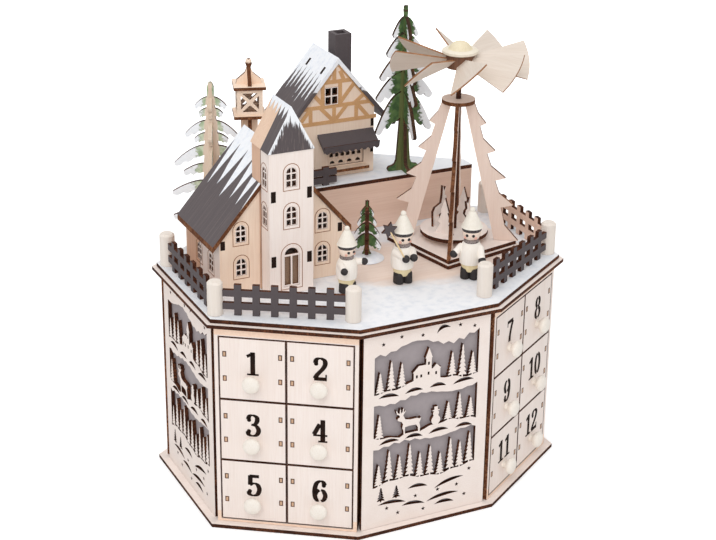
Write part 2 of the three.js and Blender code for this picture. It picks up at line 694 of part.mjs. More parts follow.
// Chimney with its foot cut to the roof slope
function chimney() {
  const tan = Math.tan(radians(HOUSE_SLOPE));
  const roofLift = (PLY + SEAT + FIT) / Math.cos(radians(HOUSE_SLOPE));
  const ridge = HOUSE_WALL + HOUSE_WIDTH / 2 * tan + roofLift;
  const half = CHIMNEY_SIZE / 2;
  const x0 = CHIMNEY_OFFSET - half;
  const x1 = CHIMNEY_OFFSET + half;
  const outline = shapeOf([[x0, ridge - x0 * tan], [x1, ridge - x1 * tan], [x1, CHIMNEY_TOP], [x0, CHIMNEY_TOP]]);
  const stack = upright(outline, CHIMNEY_SIZE);
  const flue = block([x0 + PLY, x1 - PLY], [PLY, CHIMNEY_SIZE - PLY], [CHIMNEY_TOP - 4, CHIMNEY_TOP + 1]);
  return place(piece('chimney', cut(stack, [flue]), slate), 0, CHIMNEY_SIZE, 0);
}

// Lantern on its square post
function lantern() {
  const half = LAMP_SIZE / 2;
  const post = [0, 90].map((turn) => (
    block([-LANTERN_POST / 2, LANTERN_POST / 2], [-PLY / 2, PLY / 2], [0, LANTERN_LIFT]).rotateZ(radians(turn))
  ));
  const brim = (z) => block([-LAMP_BRIM / 2, LAMP_BRIM / 2], [-LAMP_BRIM / 2, LAMP_BRIM / 2], [z, z + PLY - 0.5]);
  const lampLow = LANTERN_LIFT + PLY - 0.6;
  const outline = rectangle(0, LAMP_HEIGHT / 2, LAMP_SIZE, LAMP_HEIGHT);
  const centre = LAMP_HEIGHT / 2;
  const rim = half - 2.6;
  const bar = 1.5;
  const wedge = (turn) => [[bar * 1.4, 0], [rim, bar - rim], [rim, rim - bar]].map(([x, z]) => {
    const angle = radians(turn);
    return [x * Math.cos(angle) - z * Math.sin(angle), centre + x * Math.sin(angle) + z * Math.cos(angle)];
  });
  const sides = [0, 90, 180, 270].map((turn) => (
    plateWithHoles(outline, [0, 90, 180, 270].map(wedge)).translate(0, -half, lampLow).rotateZ(radians(turn))
  ));
  const roofLow = lampLow + LAMP_HEIGHT + PLY - 0.7;
  const bell = [[half, 0], [half * 0.94, 3.5], [half * 0.3, 9], [1.5, 13], [2.6, 16]];
  const profile = [...bell, [0, LAMP_ROOF], ...bell.map(([x, z]) => [-x, z]).reverse()];
  const blades = [0, 90].map((turn) => (
    upright(shapeOf(profile), PLY).translate(0, -PLY / 2, roofLow).rotateZ(radians(turn))
  ));
  const form = join([...post, brim(LANTERN_LIFT - 0.1), ...sides, brim(lampLow + LAMP_HEIGHT - 0.1), ...blades]);
  return place(piece('lantern', form, pine), LANTERN_X, LANTERN_Y, DECK + SEAT, LANTERN_TURN);
}

// Fir of two crossed plates: a flared foot, a bare trunk and drooping boughs
function treePlate({ height, bare, reach, droop, tiers }) {
  const trunkWidth = height * 0.04;
  const crown = height * bare;
  const step = (height * 0.92 - crown) / (tiers - 1);
  const right = [[trunkWidth * 2.3, 0], [trunkWidth, height * 0.05]];
  for (let k = 0; k < tiers; k += 1) {
    const share = k / (tiers - 1);
    const z = crown + step * k;
    const trunk = trunkWidth * (1 - 0.75 * share);
    const bough = trunk + (reach - trunkWidth) * (1 - 0.8 * share);
    const fall = bough * droop;
    const next = Math.min(z + step * 0.42, height * 0.96);
    right.push([trunk, z], [bough, z - fall], [bough * 0.85, z - fall * 0.5], [trunk, next]);
  }
  const left = right.map(([x, z]) => [-x, z]).reverse();
  return upright(shapeOf([...right, [0, height], ...left]), PLY).translate(0, -PLY / 2, 0);
}

function tree(name, size, ground, material, extra = []) {
  const across = treePlate({ ...size, reach: size.reach * size.cross }).rotateZ(Math.PI / 2);
  const form = join([treePlate(size), across, ...extra]);
  return place(piece(name, form, material), size.x, size.y, ground + SEAT, size.turn);
}

function trees() {
  const mound = turned([
    [0, 0], [MOUND_RADIUS, 0], [MOUND_RADIUS * 0.7, MOUND_HEIGHT * 0.8], [0, MOUND_HEIGHT],
  ], 9);
  return [
    tree('tree_tall', TALL_TREE, DECK + TERRACE_HEIGHT, green),
    tree('tree_left', LEFT_TREE, DECK, frost),
    tree('tree_small', SMALL_TREE, DECK, green, [mound]),
  ];
}

// Pyramid: platform, four half-fir legs under a top disc, and the spindle that turns inside them
function legOutline() {
  const outline = [[LEG_INNER, 0], [LEG_FOOT, 0]];
  let [lastRadius, lastHeight] = [LEG_FOOT, 0];
  for (const [r, z] of LEG_TIPS) {
    const notch = r * 0.79;
    const bow = notch + (lastRadius - notch) * 0.24;
    outline.push([bow, lastHeight + (z - lastHeight) * 0.42], [notch, z - 2.5], [r, z]);
    [lastRadius, lastHeight] = [r, z];
  }
  return [...outline, [15.6, LEG_HEIGHT - 8], [TOP_DISC_RADIUS - 0.5, LEG_HEIGHT], [LEG_NECK, LEG_HEIGHT]];
}

function pyramidFrame() {
  const leg = upright(shapeOf(legOutline()), PLY).translate(0, -PLY / 2, 0);
  const legs = [0, 90, 180, 270].map((turn) => leg.clone().rotateZ(radians(45 + turn)));
  const disc = turned([
    [SHAFT_RADIUS + SHAFT_PLAY, 0], [TOP_DISC_RADIUS, 0], [TOP_DISC_RADIUS, PLY],
    [SHAFT_RADIUS + SHAFT_PLAY, PLY], [SHAFT_RADIUS + SHAFT_PLAY, 0],
  ], 20).translate(0, 0, LEG_HEIGHT - 0.1);
  return join([...legs, disc]);
}

// Cut-out figures that ride on the turntable
const RIDER_STAG = [
  [-7, 0], [-6, 11], [-8, 15], [-12, 19], [-11, 21.5], [-8.5, 22.5], [-10, 29], [-7.5, 26], [-5.5, 31], [-5, 23],
  [-3.5, 17], [6, 16], [9, 13], [8, 0], [6, 0], [5.5, 8], [-3.5, 8.5], [-5, 0],
];

function spindle() {
  const low = TURNTABLE_LIFT;
  const high = ROTOR_LIFT - HUB_DROP;
  const shaft = turned([
    [0, 0.4], [0.9, 0.8], [SHAFT_RADIUS, 2.4], [SHAFT_RADIUS, high], [0, high],
  ], 8);
  const disc = turned([[0, low], [TURNTABLE_RADIUS, low], [TURNTABLE_RADIUS, low + PLY], [0, low + PLY]], 24);
  const stag = upright(shapeOf(RIDER_STAG), PLY - 1);
  const firPlate = upright(shapeOf(fir(30, 8)), PLY - 1);
  const riders = [0, 90, 180, 270].map((turn) => (
    (turn % 180 ? firPlate : stag).clone().translate(0, -16, low + PLY - 0.2).rotateZ(radians(turn + 20))
  ));
  return join([shaft, disc, ...riders]);
}

// A fan-shaped blade, turned about its own length
function blade() {
  const spread = radians(BLADE_SPREAD);
  const outline = new THREE.Shape();
  outline.moveTo(HUB_CORE - 2, -BLADE_ROOT);
  outline.absarc(0, 0, ROTOR_RADIUS, -spread, spread, false);
  outline.lineTo(HUB_CORE - 2, BLADE_ROOT);
  return flat(outline, VENEER).translate(0, 0, -VENEER / 2).rotateX(radians(BLADE_PITCH));
}

function rotor() {
  const hub = turned([
    [0, FIT - HUB_DROP], [HUB_CORE, FIT - HUB_DROP], [HUB_CORE, 6.5], [HUB_RADIUS, 6.5], [HUB_RADIUS, 9.5],
    [7.6, 9.5], [6.2, 14], [0, 17.4],
  ], 14);
  const single = blade();
  const blades = [];
  for (let k = 0; k < BLADES; k += 1) blades.push(single.clone().rotateZ(2 * Math.PI * k / BLADES));
  return join([hub, ...blades]);
}

function pyramid() {
  const group = place(new THREE.Group(), PYRAMID_X, PYRAMID_Y, DECK + SEAT, PYRAMID_TURN);
  const half = PLATFORM_SIZE / 2;
  const step = 2.5;
  const lower = block([-half, half], [-half, half], [0, PLY]);
  const upper = block([step - half, half - step], [step - half, half - step], [PLY - 0.1, 2 * PLY]);
  const top = 2 * PLY;
  const frame = piece('pyramid_frame', pyramidFrame(), birch);
  const axle = piece('pyramid_spindle', spindle(), birch);
  const wheel = piece('pyramid_rotor', rotor(), birch);
  frame.position.z = top + SEAT;
  axle.position.z = top;
  place(wheel, 0, 0, top + ROTOR_LIFT, ROTOR_TURN);
  group.add(piece('pyramid_platform', join([lower, upper]), birch), frame, axle, wheel);
  return group;
}

// Turned figure: boots, coat, head and pointed hat, with two ball hands; drawn 57 mm tall
const FIGURE_HEIGHT = 57;
const HAND = { x: 9.2, y: -10.5, z: 21.2, radius: 2.6 };
const STAR_RADIUS = 6.5;

function figure({ name, x, y, turn, height, star: carriesStar }) {
  const trunk = turned([
    [0, 0], [6.4, 0], [6.6, 7.5], [8.6, 20], [7.9, 26.5], [4.4, 30], [6.8, 34], [6.3, 40],
    [7.6, 41], [2.2, 56], [0, FIGURE_HEIGHT],
  ], 10);
  const arm = turned([[0, -1], [2.4, 0], [2.2, 8], [0, 9]], 6).rotateX(radians(112));
  const sides = [-1, 1].flatMap((side) => [
    arm.clone().rotateZ(radians(side * 18)).translate(side * 7, -1, 25),
    new THREE.SphereGeometry(HAND.radius, 7, 4).translate(side * HAND.x, HAND.y, HAND.z),
  ]);
  const extras = [];
  if (carriesStar) {
    const top = HAND.z + 23;
    extras.push(turned([[0, 0], [0.9, 0], [0.9, 22], [0, 22]], 6).translate(-HAND.x, HAND.y, HAND.z));
    extras.push(upright(shapeOf(star(STAR_RADIUS, -HAND.x, top)), PLY - 1).translate(0, HAND.y - 1, 0));
  }
  const form = join([trunk, ...sides, ...extras]);
  const scale = height / FIGURE_HEIGHT;
  form.scale(scale, scale, scale);
  return place(piece(name, form, cream), x, y, DECK + SEAT, turn);
}

const calendar = new THREE.Group();
calendar.add(...plates());
calendar.add(...PANEL_FACES.map(fretPanel));
calendar.add(...rackFaces());
calendar.add(...fences());
calendar.add(church());
calendar.add(terrace());
calendar.add(house());
calendar.add(lantern());
calendar.add(...trees());
calendar.add(pyramid());
calendar.add(...FIGURES.map(figure));

export default calendar;
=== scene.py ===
"""Looks of the advent calendar: an eight-sided plywood house of drawers under a winter village.

Lengths in the tables below are millimetres in the CAD's frame; MM turns them into metres.
"""
import json
import math

import bmesh
import bpy
from mathutils import Matrix, Vector

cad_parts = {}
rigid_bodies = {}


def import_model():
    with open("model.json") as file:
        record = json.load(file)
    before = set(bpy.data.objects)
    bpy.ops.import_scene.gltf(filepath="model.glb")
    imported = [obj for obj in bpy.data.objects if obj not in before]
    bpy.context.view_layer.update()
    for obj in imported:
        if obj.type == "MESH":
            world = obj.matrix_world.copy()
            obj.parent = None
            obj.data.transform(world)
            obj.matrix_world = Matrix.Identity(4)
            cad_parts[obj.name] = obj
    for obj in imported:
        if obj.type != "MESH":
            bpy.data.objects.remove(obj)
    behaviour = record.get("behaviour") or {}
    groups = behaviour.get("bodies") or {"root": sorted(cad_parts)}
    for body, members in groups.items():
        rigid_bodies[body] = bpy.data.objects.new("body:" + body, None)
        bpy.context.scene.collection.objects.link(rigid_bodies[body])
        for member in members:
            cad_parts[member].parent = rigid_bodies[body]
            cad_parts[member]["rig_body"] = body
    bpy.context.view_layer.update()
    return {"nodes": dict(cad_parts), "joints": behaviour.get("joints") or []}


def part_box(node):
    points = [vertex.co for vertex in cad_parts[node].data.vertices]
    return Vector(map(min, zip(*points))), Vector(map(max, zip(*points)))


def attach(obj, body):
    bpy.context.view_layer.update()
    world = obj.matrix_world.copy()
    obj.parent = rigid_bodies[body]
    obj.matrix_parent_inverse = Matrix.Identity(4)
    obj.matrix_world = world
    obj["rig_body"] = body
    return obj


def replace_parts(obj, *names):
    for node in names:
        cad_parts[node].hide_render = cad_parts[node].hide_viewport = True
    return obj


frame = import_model()
MM = 0.001
PLY = 3.0               # thickness of the plywood
DECK = 172.2            # top of the deck, with the glue line under what stands on it


# Materials


def tone(red, green, blue):
    """An sRGB colour from 0 to 255 as the linear colour that a shader takes."""
    def linear(value):
        share = value / 255
        return share / 12.92 if share <= 0.04045 else ((share + 0.055) / 1.055) ** 2.4
    return (linear(red), linear(green), linear(blue), 1.0)


class Graph:
    """A node material, put together one step at a time."""

    def __init__(self, name):
        self.material = bpy.data.materials.new(name)
        self.material.use_nodes = True
        self.tree = self.material.node_tree
        self.tree.nodes.clear()
        self.coords = self.node("ShaderNodeTexCoord").outputs["Object"]

    def node(self, kind, inputs=None, **settings):
        node = self.tree.nodes.new(kind)
        for key, value in settings.items():
            setattr(node, key, value)
        for key, value in (inputs or {}).items():
            self.put(node.inputs[key], value)
        return node

    def put(self, socket, value):
        if isinstance(value, bpy.types.NodeSocket):
            self.tree.links.new(value, socket)
        else:
            socket.default_value = value

    def stretched(self, scale):
        """Object coordinates in metres, multiplied along each axis."""
        return self.node("ShaderNodeMapping", {"Vector": self.coords, "Scale": scale}).outputs["Vector"]

    def noise(self, scale, detail=3.0):
        """Noise from 0 to 1, with as many features per metre as scale gives for each axis."""
        inputs = {"Vector": self.stretched(scale), "Scale": 1.0, "Detail": detail, "Roughness": 0.55}
        return self.node("ShaderNodeTexNoise", inputs).outputs["Fac"]

    def axis(self, letter):
        return self.node("ShaderNodeSeparateXYZ", {"Vector": self.coords}).outputs[letter]

    def maths(self, operation, first, second=0.0, third=0.0):
        return self.node("ShaderNodeMath", {0: first, 1: second, 2: third}, operation=operation).outputs[0]

    def times(self, first, second):
        return self.maths("MULTIPLY", first, second)

    def plus(self, first, second):
        return self.maths("ADD", first, second)

    def minus(self, first, second):
        return self.maths("SUBTRACT", first, second)

    def larger(self, first, second):
        return self.maths("MAXIMUM", first, second)

    def linear(self, value, factor, offset):
        """The value times a factor, plus an offset."""
        return self.maths("MULTIPLY_ADD", value, factor, offset)

    def between(self, value, low, high):
        """0 below low, 1 above high and a smooth step between them."""
        inputs = {"Value": value, "From Min": low, "From Max": high}
        return self.node("ShaderNodeMapRange", inputs, interpolation_type="SMOOTHSTEP").outputs["Result"]

    def mix(self, share, first, second):
        node = self.node("ShaderNodeMix", data_type="RGBA")
        self.put(node.inputs["Factor"], share)
        sockets = [socket for socket in node.inputs if socket.type == "RGBA"]
        self.put(sockets[0], first)
        self.put(sockets[1], second)
        return next(socket for socket in node.outputs if socket.type == "RGBA")

    def shade(self, colour, roughness, height, depth, **uniform):
        """Joins colour, roughness and a bump of the given depth in metres to the surface."""
        bump = self.node("ShaderNodeBump", {"Height": height, "Distance": depth, "Strength": 1.0})
        inputs = {"Base Color": colour, "Roughness": roughness, "Normal": bump.outputs["Normal"]}
        surface = self.node("ShaderNodeBsdfPrincipled", {**inputs, **uniform})
        output = self.node("ShaderNodeOutputMaterial")
        self.tree.links.new(surface.outputs["BSDF"], output.inputs["Surface"])
        return self.material


ACROSS, ALONG = 1100.0, 38.0       # grain streaks per metre across and along the wood
GRAIN_DEPTH = 0.00006              # of the bump, in metres
GRAINS = {"X": (ALONG, ACROSS, ACROSS), "Y": (ACROSS, ALONG, ACROSS), "Z": (ACROSS, ACROSS, ALONG)}


def darker(colour, share):
    return tuple(value * share for value in colour[:3]) + (1.0,)


def grain_colour(graph, light, dark, along):
    """Plywood veneer: fine streaks, broad clouds and short dark pores, all along the grain."""
    scale = GRAINS[along]
    streaks = graph.noise(scale, 4.0)
    clouds = graph.noise(tuple(value * 0.07 for value in scale), 2.0)
    pores = graph.noise(tuple(value * 2.3 for value in scale), 1.0)
    colour = graph.mix(graph.times(graph.between(streaks, 0.3, 0.8), 0.6), light, dark)
    colour = graph.mix(graph.times(graph.between(clouds, 0.4, 0.75), 0.4), colour, dark)
    colour = graph.mix(graph.times(graph.between(pores, 0.68, 0.8), 0.22), colour, darker(dark, 0.55))
    return colour, streaks


def grained(graph, colour, streaks, roughness=0.63):
    """Shades wood, a little rougher and higher along its streaks."""
    return graph.shade(colour, graph.linear(streaks, 0.16, roughness - 0.08), streaks, GRAIN_DEPTH)


def wood(name, light, dark, along="Z", roughness=0.62):
    graph = Graph(name)
    return grained(graph, *grain_colour(graph, light, dark, along), roughness)


def burnt_edge(name, dark, light):
    """A laser-cut edge: charred, with paler glue lines and short vertical scorch marks."""
    graph = Graph(name)
    scorch = graph.noise((700.0, 700.0, 500.0), 4.0)
    patches = graph.noise((45.0, 45.0, 45.0), 2.0)
    share = graph.times(graph.between(scorch, 0.35, 0.75), graph.between(patches, 0.3, 0.7))
    rough = graph.linear(scorch, 0.2, 0.7)
    return graph.shade(graph.mix(share, dark, light), rough, scorch, 0.00015, **{"Specular IOR Level": 0.15})


def painted(name, colour, worn, wear=0.72):
    """Brushed paint on wood: streaks of the brush, and wood tone where it is thin."""
    graph = Graph(name)
    brush = graph.noise(tuple(value * 0.6 for value in GRAINS["Z"]), 3.0)
    mottle = graph.noise((260.0, 260.0, 260.0), 3.0)
    shade = graph.mix(graph.times(mottle, 0.5), colour, darker(colour, 0.7))
    shade = graph.mix(graph.between(brush, wear, wear + 0.14), shade, worn)
    return graph.shade(shade, graph.linear(brush, 0.2, 0.62), brush, 0.0001)


def snow_cover(name, white, shadow):
    """Thick white paint, dabbed on: soft lumps and faint blue-grey hollows of painted shade."""
    graph = Graph(name)
    lumps = graph.noise((150.0, 150.0, 150.0), 4.0)
    drifts = graph.noise((22.0, 22.0, 22.0), 2.0)
    share = graph.times(graph.between(lumps, 0.35, 0.75), graph.between(drifts, 0.3, 0.75))
    return graph.shade(graph.mix(share, white, shadow), 0.78, lumps, 0.0003)


def snowy_ground(name, clearing, radii):
    """White paint on the deck, brushed thin over a clearing where the wood shows."""
    graph = Graph(name)
    pale, _ = grain_colour(graph, tone(244, 226, 214), tone(230, 206, 190), "X")
    away = [graph.maths("DIVIDE", graph.minus(graph.axis(axis), middle * MM), radius * MM)
            for axis, middle, radius in zip("XY", clearing, radii)]
    squares = [graph.times(value, value) for value in away]
    ragged = graph.linear(graph.noise((28.0, 60.0, 40.0), 5.0), 1.1, -0.55)
    reach = graph.plus(graph.plus(*squares), ragged)
    cover = graph.between(reach, 0.55, 1.3)
    lumps = graph.noise((150.0, 150.0, 150.0), 4.0)
    # the blue-grey white mottled into the snow is painted shade
    white = graph.mix(graph.between(lumps, 0.4, 0.8), tone(240, 241, 244), tone(222, 226, 233))
    return graph.shade(graph.mix(cover, pale, white), 0.74, graph.plus(lumps, cover), 0.0002)


SLATE, SLATE_WORN = tone(82, 73, 75), tone(120, 108, 104)
WHITE, WHITE_SHADE = tone(246, 248, 252), tone(230, 235, 244)


def snowy_roof(name, ridge, spikes, pitch, streak, bare=None):
    """Slate paint with snow that hangs from the ridge in spikes, in metres.

    spikes gives the snow's shortest and longest reach below the ridge, pitch the step from one spike to the
    next, streak how far their tips fray, and bare where raw wood starts behind the paint, along Y."""
    graph = Graph(name)
    brush = graph.noise((30.0, 900.0, 30.0), 3.0)
    slate = graph.mix(graph.times(graph.between(brush, 0.45, 0.8), 0.4), SLATE, SLATE_WORN)
    fall = graph.minus(ridge, graph.axis("Z"))
    wander = graph.linear(graph.noise((4.0, 25.0, 4.0), 1.0), 0.9 * pitch, graph.axis("Y"))
    tooth = graph.maths("DIVIDE", graph.maths("PINGPONG", wander, pitch / 2), pitch / 2)
    short, long = spikes
    uneven = graph.linear(graph.noise((1.0, 70.0, 1.0), 1.0), 1.2, 0.4)
    reach = graph.linear(graph.times(tooth, uneven), long - short, short)
    ragged = graph.linear(graph.noise((200.0, 1500.0, 200.0), 3.0), streak, reach)
    cover = graph.between(graph.minus(ragged, fall), 0.0, 0.0012)
    lumps = graph.noise((260.0, 260.0, 260.0), 3.0)
    snow = graph.mix(graph.between(lumps, 0.4, 0.8), WHITE, WHITE_SHADE)
    colour = graph.mix(cover, slate, snow)
    if bare is not None:
        raw, _ = grain_colour(graph, tone(238, 208, 184), tone(220, 182, 154), "Z")
        behind = graph.times(graph.between(graph.axis("Y"), bare, bare + 0.0003), graph.minus(1.0, cover))
        colour = graph.mix(behind, colour, raw)
    return graph.shade(colour, graph.linear(cover, 0.12, 0.64), graph.plus(cover, brush), 0.0002)


BIRCH_LIGHT, BIRCH_DARK = tone(246, 234, 227), tone(237, 221, 211)
birch = wood("birch_veneer", BIRCH_LIGHT, BIRCH_DARK)
birch_flat = wood("birch_flat", BIRCH_LIGHT, BIRCH_DARK, "X")
birch_blade = wood("birch_blade", tone(226, 214, 202), tone(212, 196, 181), "X")
tan = wood("tan_veneer", tone(246, 224, 204), tone(234, 205, 180))
raw = wood("raw_veneer", tone(242, 212, 194), tone(228, 193, 172), "X")
beam = wood("timber_beam", tone(214, 168, 118), tone(186, 136, 90))
scorched = burnt_edge("burnt_edge", tone(58, 30, 20), tone(126, 76, 50))
tenon_wood = wood("tenon_end", tone(214, 178, 146), tone(186, 146, 114))
toasted = burnt_edge("toasted_edge", tone(92, 54, 34), tone(164, 112, 76))
rosy = wood("rosy_veneer", tone(240, 219, 206), tone(229, 203, 188))
veneer_edge = burnt_edge("veneer_edge", tone(150, 104, 72), tone(206, 160, 120))
charred = burnt_edge("charred_cut", tone(26, 15, 10), tone(58, 34, 24))
engraved = burnt_edge("engraved_line", tone(142, 92, 60), tone(180, 128, 92))
slate = painted("slate_paint", SLATE, SLATE_WORN)
snow = snow_cover("snow_paint", WHITE, WHITE_SHADE)
ground = snowy_ground("deck_ground", (44, -22), (74, 44))
# Backing card: its lilac grey is darker than the whitish sheet behind the fretwork, and the darkness is
# painted shade from inside the body.
backing_card_with_painted_shade = painted("backing_card_painted_shade", tone(168, 158, 160), tone(180, 170, 172), wear=0.8)
lacquer = wood("lacquered_knob", tone(245, 238, 229), tone(234, 223, 209), roughness=0.4)
post_wood = wood("post_wood", tone(238, 229, 220), tone(224, 211, 198), roughness=0.55)


# Geometry


def new_object(name, data):
    item = bpy.data.objects.new(name, data)
    bpy.context.scene.collection.objects.link(item)
    return item


def link(name, mesh, body, matrix=None):
    piece = new_object(name, mesh)
    if matrix is not None:
        piece.matrix_world = matrix
    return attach(piece, body)


def shift(x, y, z=0.0):
    return Matrix.Translation(Vector((x, y, z)) * MM)


def rotation(degrees, axis="Z"):
    return Matrix.Rotation(math.radians(degrees), 4, axis)


def wall(x, y, z, turn):
    """Frame of a wall: local x to the right seen from outside, y up and z outward; turn 0 looks along -Y."""
    return shift(x, y, z) @ rotation(turn) @ rotation(90, "X")


def circle_point(degrees, radius=1.0):
    return radius * math.cos(math.radians(degrees)), radius * math.sin(math.radians(degrees))


def arc(centre, radii, start, end, count=14):
    """Points of an ellipse arc between two angles in degrees."""
    turns = [circle_point(start + (end - start) * k / count) for k in range(count + 1)]
    return [(centre[0] + radii[0] * x, centre[1] + radii[1] * y) for x, y in turns]


def rectangle(x, y, width, height):
    return [(x - width / 2, y - height / 2), (x + width / 2, y - height / 2),
            (x + width / 2, y + height / 2), (x - width / 2, y + height / 2)]


def moved(outline, x, z, scale=1.0):
    return [(x + px * scale, z + pz * scale) for px, pz in outline]


def mirrored(outline):
    """The outline's mirror image across x = 0, run backwards."""
    return [(-x, z) for x, z in reversed(outline)]


def plate(name, loops, thickness, matrix, face, edge, body="calendar", base=0.0):
    """A cut plate from outlines in millimetres, its back at base; inner outlines are holes."""
    curve = bpy.data.curves.new(name, "CURVE")
    curve.dimensions, curve.fill_mode, curve.extrude = "2D", "BOTH", thickness * MM / 2
    for loop in loops:
        spline = curve.splines.new("POLY")
        spline.points.add(len(loop) - 1)
        for point, (x, y) in zip(spline.points, loop):
            point.co = (x * MM, y * MM, 0, 1)
        spline.use_cyclic_u = True
    holder = new_object(name + "_curve", curve)
    mesh = bpy.data.meshes.new_from_object(holder.evaluated_get(bpy.context.evaluated_depsgraph_get()))
    bpy.data.objects.remove(holder)
    mesh.transform(Matrix.Translation((0, 0, (base + thickness / 2) * MM)))
    mesh.materials.clear()
    mesh.materials.append(face)
    mesh.materials.append(edge)
    for polygon in mesh.polygons:
        polygon.material_index = 0 if abs(polygon.normal.z) > 0.5 else 1
        polygon.use_smooth = False
    return link(name, mesh, body, matrix)


def smooth_line(points, steps):
    """Catmull-Rom curve through the points."""
    padded = [points[0], *points, points[-1]]
    line = []
    for k in range(len(points) - 1):
        a, b, c, d = (Vector(p) for p in padded[k:k + 4])
        bend, twist = 2 * a - 5 * b + 4 * c - d, 3 * b - a - 3 * c + d
        for t in (step / steps for step in range(steps)):
            line.append(0.5 * (2 * b + (c - a) * t + bend * t * t + twist * t ** 3))
    line.append(Vector(points[-1]))
    return line


def turned(name, profile, matrix, material, body="calendar", segments=40, steps=1):
    """A turned piece from [radius, height] points in millimetres."""
    line = smooth_line([Vector((r, 0, z)) for r, z in profile], steps)
    form = bmesh.new()
    verts = [form.verts.new(Vector((max(p.x, 0.0), 0, p.z)) * MM) for p in line]
    edges = [form.edges.new(pair) for pair in zip(verts, verts[1:])]
    bmesh.ops.spin(form, geom=verts + edges, axis=(0, 0, 1), cent=(0, 0, 0), steps=segments, angle=math.tau)
    bmesh.ops.remove_doubles(form, verts=form.verts, dist=1e-6)
    bmesh.ops.recalc_face_normals(form, faces=form.faces)
    mesh = bpy.data.meshes.new(name)
    form.to_mesh(mesh)
    form.free()
    mesh.materials.append(material)
    mesh.shade_smooth()
    mesh.set_sharp_from_angle(angle=math.radians(38))
    return link(name, mesh, body, matrix)


def ribbon(form, points, widths, level=0.0):
    """Adds a flat stroke of changing width to a bmesh, in millimetres, at a level above the surface."""
    rows = []
    for k, point in enumerate(points):
        ahead = points[min(k + 1, len(points) - 1)] - points[max(k - 1, 0)]
        side = Vector((-ahead.y, ahead.x)).normalized() * widths[k] / 2
        rows.append([form.verts.new(Vector((*(point + s), level)) * MM) for s in (side, -side)])
    for (a, b), (c, d) in zip(rows, rows[1:]):
        form.faces.new((a, b, d, c))


def marks(name, form, matrix, material, body="calendar", proud=0.12):
    """Turns the flat strokes in a bmesh into a thin layer that stands a little proud of the surface."""
    for face in form.faces:
        if face.normal.z < 0:
            face.normal_flip()
    raised = bmesh.ops.extrude_face_region(form, geom=list(form.faces))
    lifted = [item for item in raised["geom"] if isinstance(item, bmesh.types.BMVert)]
    bmesh.ops.translate(form, verts=lifted, vec=(0, 0, proud * MM))
    mesh = bpy.data.meshes.new(name)
    form.to_mesh(mesh)
    form.free()
    mesh.materials.append(material)
    return link(name, mesh, body, matrix)


def strokes(name, lines, width, matrix, material, proud=0.12):
    """Straight marks of one width between pairs of points in millimetres.

    Their feet are sunk in the surface, and each stands a hair above the one before."""
    sunk, hair = 0.4, 0.01
    form = bmesh.new()
    for number, (start, end) in enumerate(lines):
        ribbon(form, [Vector(start), Vector(end)], [width, width], number * hair - sunk)
    form.normal_update()
    return marks(name, form, matrix, material, proud=proud + sunk)


def flat_regions(form):
    """Groups of faces that lie in one plane and touch, in the order of the form's faces."""
    left, regions = set(form.faces), []
    for first in form.faces:
        if first not in left:
            continue
        left.remove(first)
        stack, region = [first], [first]
        while stack:
            face = stack.pop()
            for edge in face.edges:
                for other in edge.link_faces:
                    if other in left and other.normal.dot(face.normal) > 0.9995:
                        left.remove(other)
                        stack.append(other)
                        region.append(other)
        regions.append(region)
    return regions


def region_width(region):
    """The shorter side of the box round a flat region, measured in its plane along its longest border."""
    normal = region[0].normal
    points = [vert.co for face in region for vert in face.verts]
    inside = set(region)
    border = [edge for face in region for edge in face.edges if not all(f in inside for f in edge.link_faces)]
    longest = max(border, key=lambda edge: edge.calc_length())
    along = (longest.verts[1].co - longest.verts[0].co).normalized()
    across = normal.cross(along)
    spans = [max(p.dot(way) for p in points) - min(p.dot(way) for p in points) for way in (along, across)]
    return min(spans)


# Up to what width a flat face counts as a cut edge: the sheet's thickness and a little more
EDGE, THIN_EDGE = PLY + 0.4, PLY + 0.2


def skin(node, face, edge, limit=EDGE, rule=None, keep=None):
    """A copy of a CAD node whose narrow cut edges and broad faces have materials of their own.

    limit is the widest cut edge in millimetres. rule(centre, normal, narrow) may give another material for a
    region, and keep(centre) leaves out faces that a finer piece stands for. Both get millimetres."""
    source = frame["nodes"][node]
    form = bmesh.new()
    form.from_mesh(source.data)
    bmesh.ops.remove_doubles(form, verts=form.verts, dist=1e-6)
    if keep:
        gone = [f for f in form.faces if not keep(f.calc_center_median() / MM)]
        bmesh.ops.delete(form, geom=gone, context="FACES")
    form.normal_update()
    materials = [face, edge]
    for region in flat_regions(form):
        narrow = region_width(region) / MM <= limit
        area = sum(f.calc_area() for f in region)
        centre = sum((f.calc_center_median() * f.calc_area() for f in region), Vector()) / (area or 1)
        chosen = (edge if narrow else face) if rule is None else rule(centre / MM, region[0].normal, narrow)
        if chosen not in materials:
            materials.append(chosen)
        for f in region:
            f.material_index = materials.index(chosen)
    mesh = bpy.data.meshes.new(node + "_skin")
    form.to_mesh(mesh)
    form.free()
    for material in materials:
        mesh.materials.append(material)
    piece = link(node + "_wood", mesh, source["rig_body"])
    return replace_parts(piece, node)


# Body and drawers


def body_plates():
    skin("base_plate", birch_flat, scorched)
    skin("deck_lower", birch_flat, scorched)
    skin("deck_upper", ground, scorched)
    for side, turn in (("front", 0), ("right", 90), ("back", 180), ("left", 270)):
        fretwork(side, turn)
        # the backing card's grey is painted shade behind the fretwork
        frame["nodes"][f"panel_backing_{side}"].data.materials[0] = backing_card_with_painted_shade


FRET_MARGIN = 9.0                # of plain wood on either side of the windows


def fir_shape(height, half, tiers=6):
    """A fir from its left foot over the tip to its right foot, with drooping twigs."""
    step = height / (tiers + 0.6)
    left = [(-half * 0.16, 0), (-half * 0.16, step * 0.5)]
    for k in range(tiers):
        reach, low = half * (1 - k / (tiers + 0.8)), step * (k + 0.5)
        left += [(-reach, low - step * 0.12), (-reach * 0.86, low + step * 0.3),
                 (-reach * 0.42, low + step * 0.86)]
    return left + [(0, height)] + mirrored(left)


